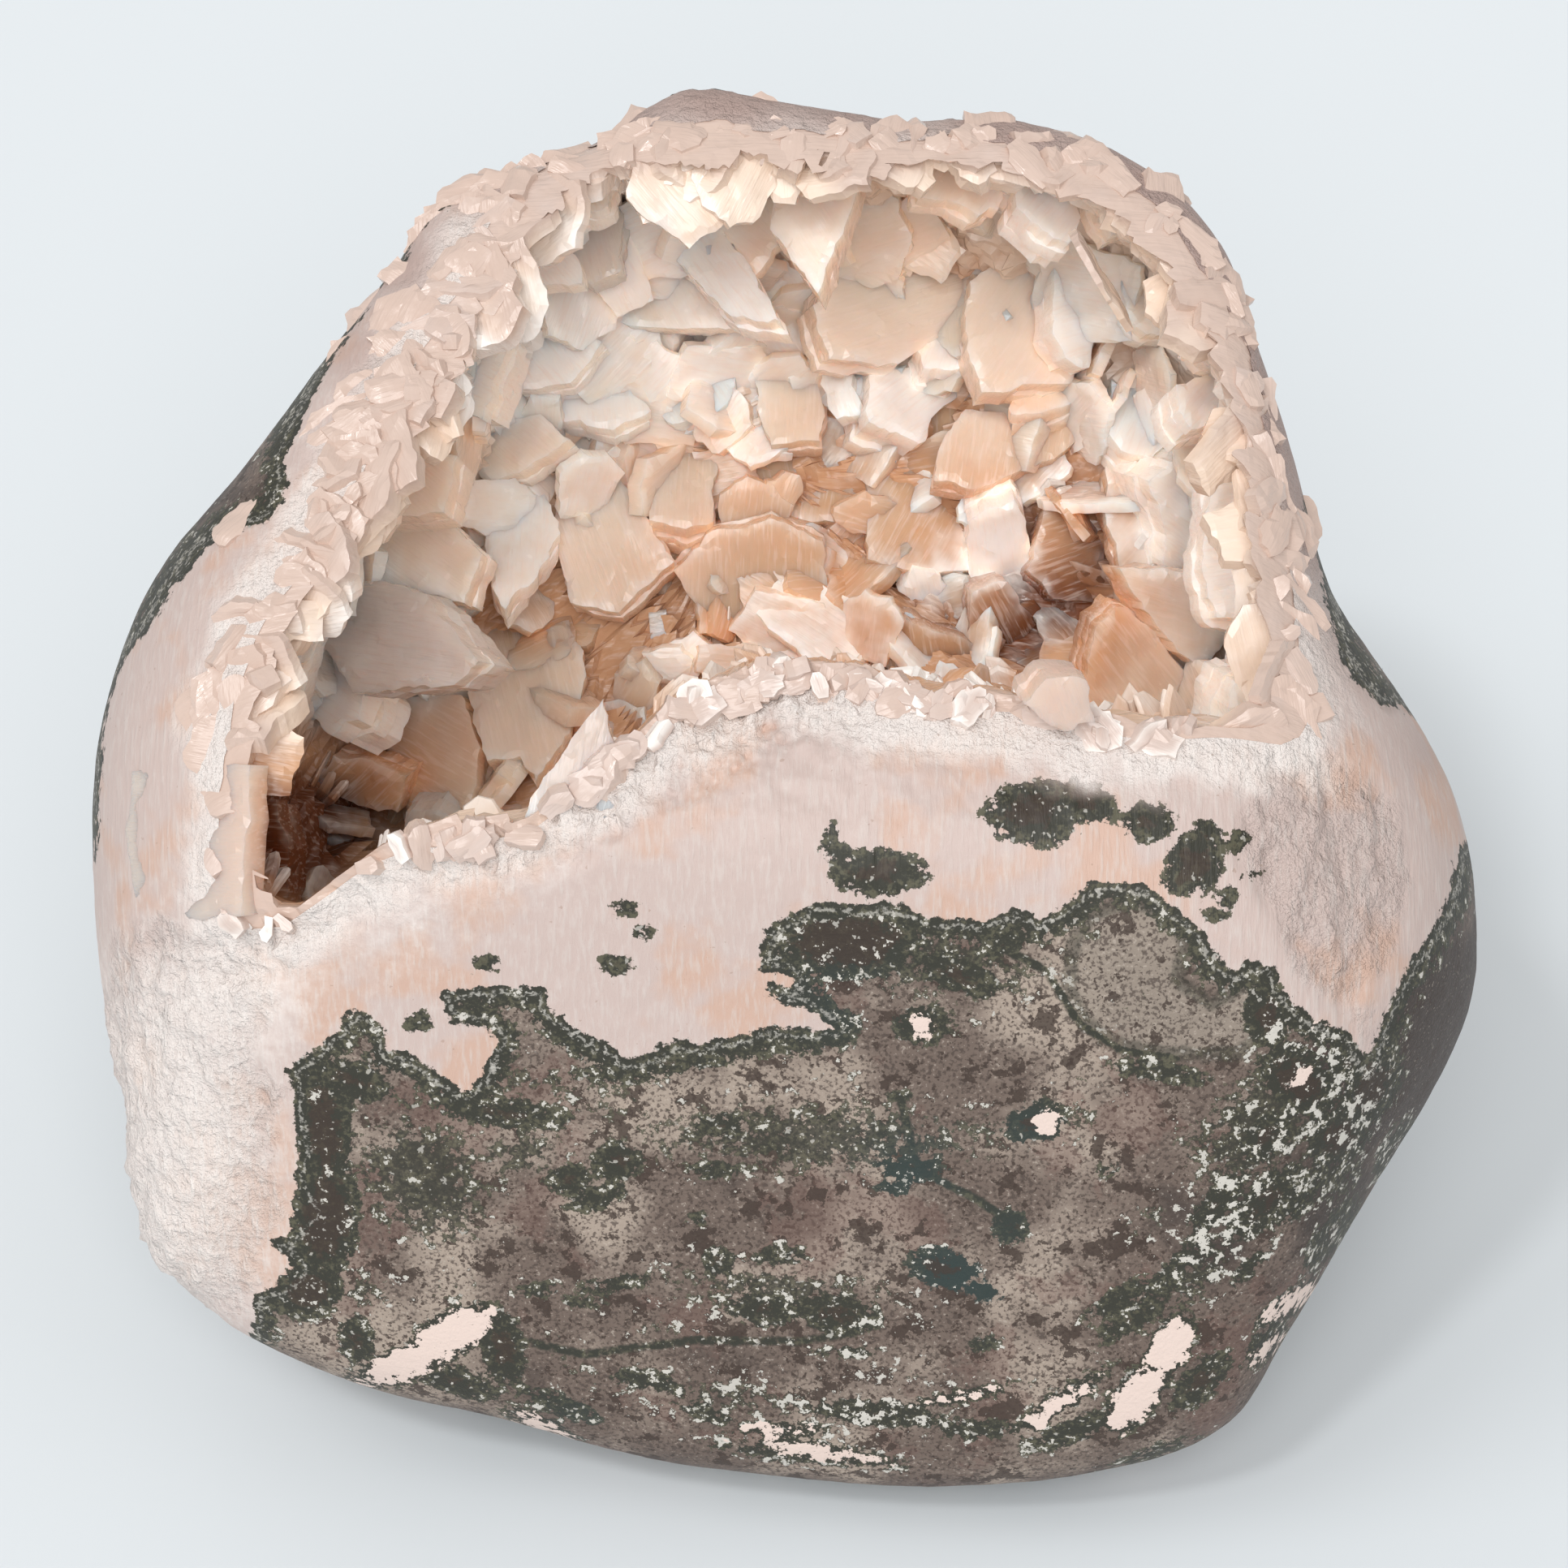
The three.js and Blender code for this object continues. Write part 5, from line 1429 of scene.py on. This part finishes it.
def plate(pile, root, facing, lean, length, white, amber, rng, seed, rise=None):
    """One plate round a root, its face turned to a direction, but for a chance lean.

    With a rise it stands out from the stone by that many mm, and else it stays under its skin.
    """
    up = unit(facing + rng.normal(size=3) * lean)
    over = unit(np.cross(up, rng.normal(size=3)))
    ring = COFFIN * rng.uniform(0.9, 1.1, COFFIN.shape)
    ring *= np.array([1, rng.uniform(*PLATE_WIDTH)]) * length / 2
    axes = np.array([np.cross(over, up), over, up])
    deep = rng.uniform(*PLATE_THICKNESS)
    out = root + ring @ axes[:2] - MIDDLE
    if rise is None:
        out = np.concatenate([out, out - up * deep])
    reach, surface = reaches(out)
    risen = (reach - surface).max()
    if rise is not None or risen > -UNDER_SKIN:
        wanted = -UNDER_SKIN if rise is None else rise
        root = root - unit(root - MIDDLE) * (risen - wanted)
    root[2] -= max(0, root[2] + (ring @ axes[:2, 2]).max() - RIM_TOP)
    stack(pile, root, axes, ring, deep, seed, white, amber)


middle_sized = Pile()
rng = np.random.default_rng(8)
focus = to_world([*hollow_centre, BLADES_TOWARDS])
for number in range(BOWL_SHEAVES):
    angle, share = number * GOLDEN_TURN, math.sqrt((number + rng.uniform(0, 1)) / BOWL_SHEAVES)
    root = to_world(bowl_place(np.array([angle]), np.array([share * 0.99]), CRUST_THICKNESS)[0])
    inward = unit(focus - root)
    length = rng.uniform(*BOWL_LENGTH)
    root += inward * rng.uniform(*SHEAF_ROOT)
    facing = unit(inward + rng.normal(size=3) * BOWL_LEAN)
    white, amber = rng.choice(SHEAF_WHITES), rng.uniform(*SHEAF_AMBER)
    for k in range(SHEAF):
        plate(middle_sized, root + rng.normal(size=3) * SHEAF_STEP, facing, SHEAF_LEAN,
              length * rng.uniform(*SHEAF_SHORTER), white, amber, rng,
              SHEAF_SEED + SHEAF * number + k)
middle_sized.piece("middle_blades", milky_crystal)

rim = Pile()
for turn, count, lengths, outs, whites in RIM_PARTS:
    placed = 0
    while placed < count:
        angle = np.radians(rng.uniform(*turn, 1))
        out = np.array([math.cos(angle[0]), math.sin(angle[0])])  # math and numpy may round apart
        away = rng.uniform(*outs) * rng.uniform(0, 1)
        place = hollow_centre + out * (hollow_radius(angle)[0] + away)
        near = stone_front(place)
        if near < PASSED:
            continue
        root = to_world(at_depth(place, np.array(near)))
        facing = unit(TO_EYE + unit(root - MIDDLE) * rng.uniform(0, 1))
        plate(rim, root, facing, RIM_LEAN, rng.uniform(*lengths), rng.uniform(*whites),
              rng.uniform(*RIM_AMBER), rng, RIM_SEED + len(rim.points), RIM_RISE)
        placed += 1
rim.piece("rim_crystals", frosty_crystal)

# THE SMALL BLADES
# Fans of thin plates in the gaps between the larger ones, on the bowl and on the front wall's
# inner side.

FLAKE = np.array([
    (-0.35, -0.7), (0.55, -1), (0.95, -0.45), (1, 0.35), (0.6, 0.95), (-0.35, 0.75),
])
BOWL_FANS, WALL_FANS = 60, 90
FAN_BLADES = (3, 6)
FAN_SPREAD = math.radians(13)
SMALL_LENGTH = (2.2, 7.5)  # mm
SMALL_WIDTH, SMALL_THICKNESS = (0.3, 0.6), (0.1, 0.2)  # shares of the length
SMALL_WHITES, WHITE_CHANGE, AMBER_CHANGE = [0, 0.1, 0.3, 0.6], (-0.15, 0.2), (-0.1, 0.15)
SMALL_LEAN, SMALL_ROOT = 0.45, 1.0  # how far fans lean, and mm before the wall
WALL_TURN = (202, 331)  # degrees from the right
WALL_LEVELS = (-6, 24)  # mm before the stone's middle
CHAMFER = 0.18


def small_blade(pile, root, along, over, length, half, thick, white, amber, rng):
    """One coffin-shaped plate with a chamfer all round."""
    up = np.cross(along, over)
    shape = FLAKE * (length, half) * rng.uniform(0.85, 1.15, FLAKE.shape)
    inset = shape * (1 - CHAMFER * half / np.maximum(np.linalg.norm(shape, axis=1), 0.1))[:, None]
    count = len(shape)
    levels = [(inset, thick / 2), (shape, thick / 2 - CHAMFER * thick * 2)]
    levels += [(flat, -level) for flat, level in levels[::-1]]
    own = np.concatenate([np.column_stack([flat, np.full(count, z)]) for flat, z in levels])
    points = root + own @ np.array([along, over, up])
    faces = [list(range(count)), [3 * count + i for i in reversed(range(count))]]
    for ring in range(3):
        for i in range(count):
            a, b = ring * count + i, ring * count + (i + 1) % count
            faces.append([b, a, a + count, b + count])
    tint = np.tile(white + 0.3 * (np.arange(count) / count > 0.3), 4)
    pile.add(points, faces, tint, amber, own + rng.uniform(0, 50, 3))


def fan(pile, root, lean, length, white, rng):
    """Plates that spread like a half-opened book round one root, inside the stone."""
    over = unit(np.cross(lean, rng.normal(size=3)))
    count = rng.integers(*FAN_BLADES)
    for k in range(count):
        swing = (k - (count - 1) / 2) * FAN_SPREAD * rng.uniform(0.4, 1.3)
        up = np.cross(lean, over)
        along = lean * math.cos(swing) + up * math.sin(swing)
        size = length * rng.uniform(0.65, 1.1)
        half = size * rng.uniform(*SMALL_WIDTH)
        thick = size * rng.uniform(*SMALL_THICKNESS)
        start_at = root + up * (k - count / 2) * thick * 0.8 + rng.normal(size=3) * 0.2
        if not inside_stone((start_at + along * size)[None])[0]:
            continue
        small_blade(pile, start_at, along, over, size, half, thick,
                    white + rng.uniform(*WHITE_CHANGE), rng.uniform(*AMBER_CHANGE), rng)


small = Pile()
rng = np.random.default_rng(5)
for number in range(BOWL_FANS + WALL_FANS):
    if number < BOWL_FANS:
        angle, share = rng.uniform(0, 2 * math.pi), math.sqrt(rng.uniform(0.02, 0.98))
        place = bowl_place(np.array([angle]), np.array([share]), SMALL_ROOT)[0]
    else:
        angle, near = math.radians(rng.uniform(*WALL_TURN)), rng.uniform(*WALL_LEVELS)
        place = tube_place(np.array([angle]), np.array([near]), SMALL_ROOT)[0]
    root = to_world(place)
    lean = unit(unit(focus - root) + rng.normal(size=3) * SMALL_LEAN)
    length = rng.uniform(*SMALL_LENGTH) * rng.uniform(0.6, 1)
    fan(small, root, lean, length, rng.choice(SMALL_WHITES), rng)
small.piece("small_blades", frosty_crystal)
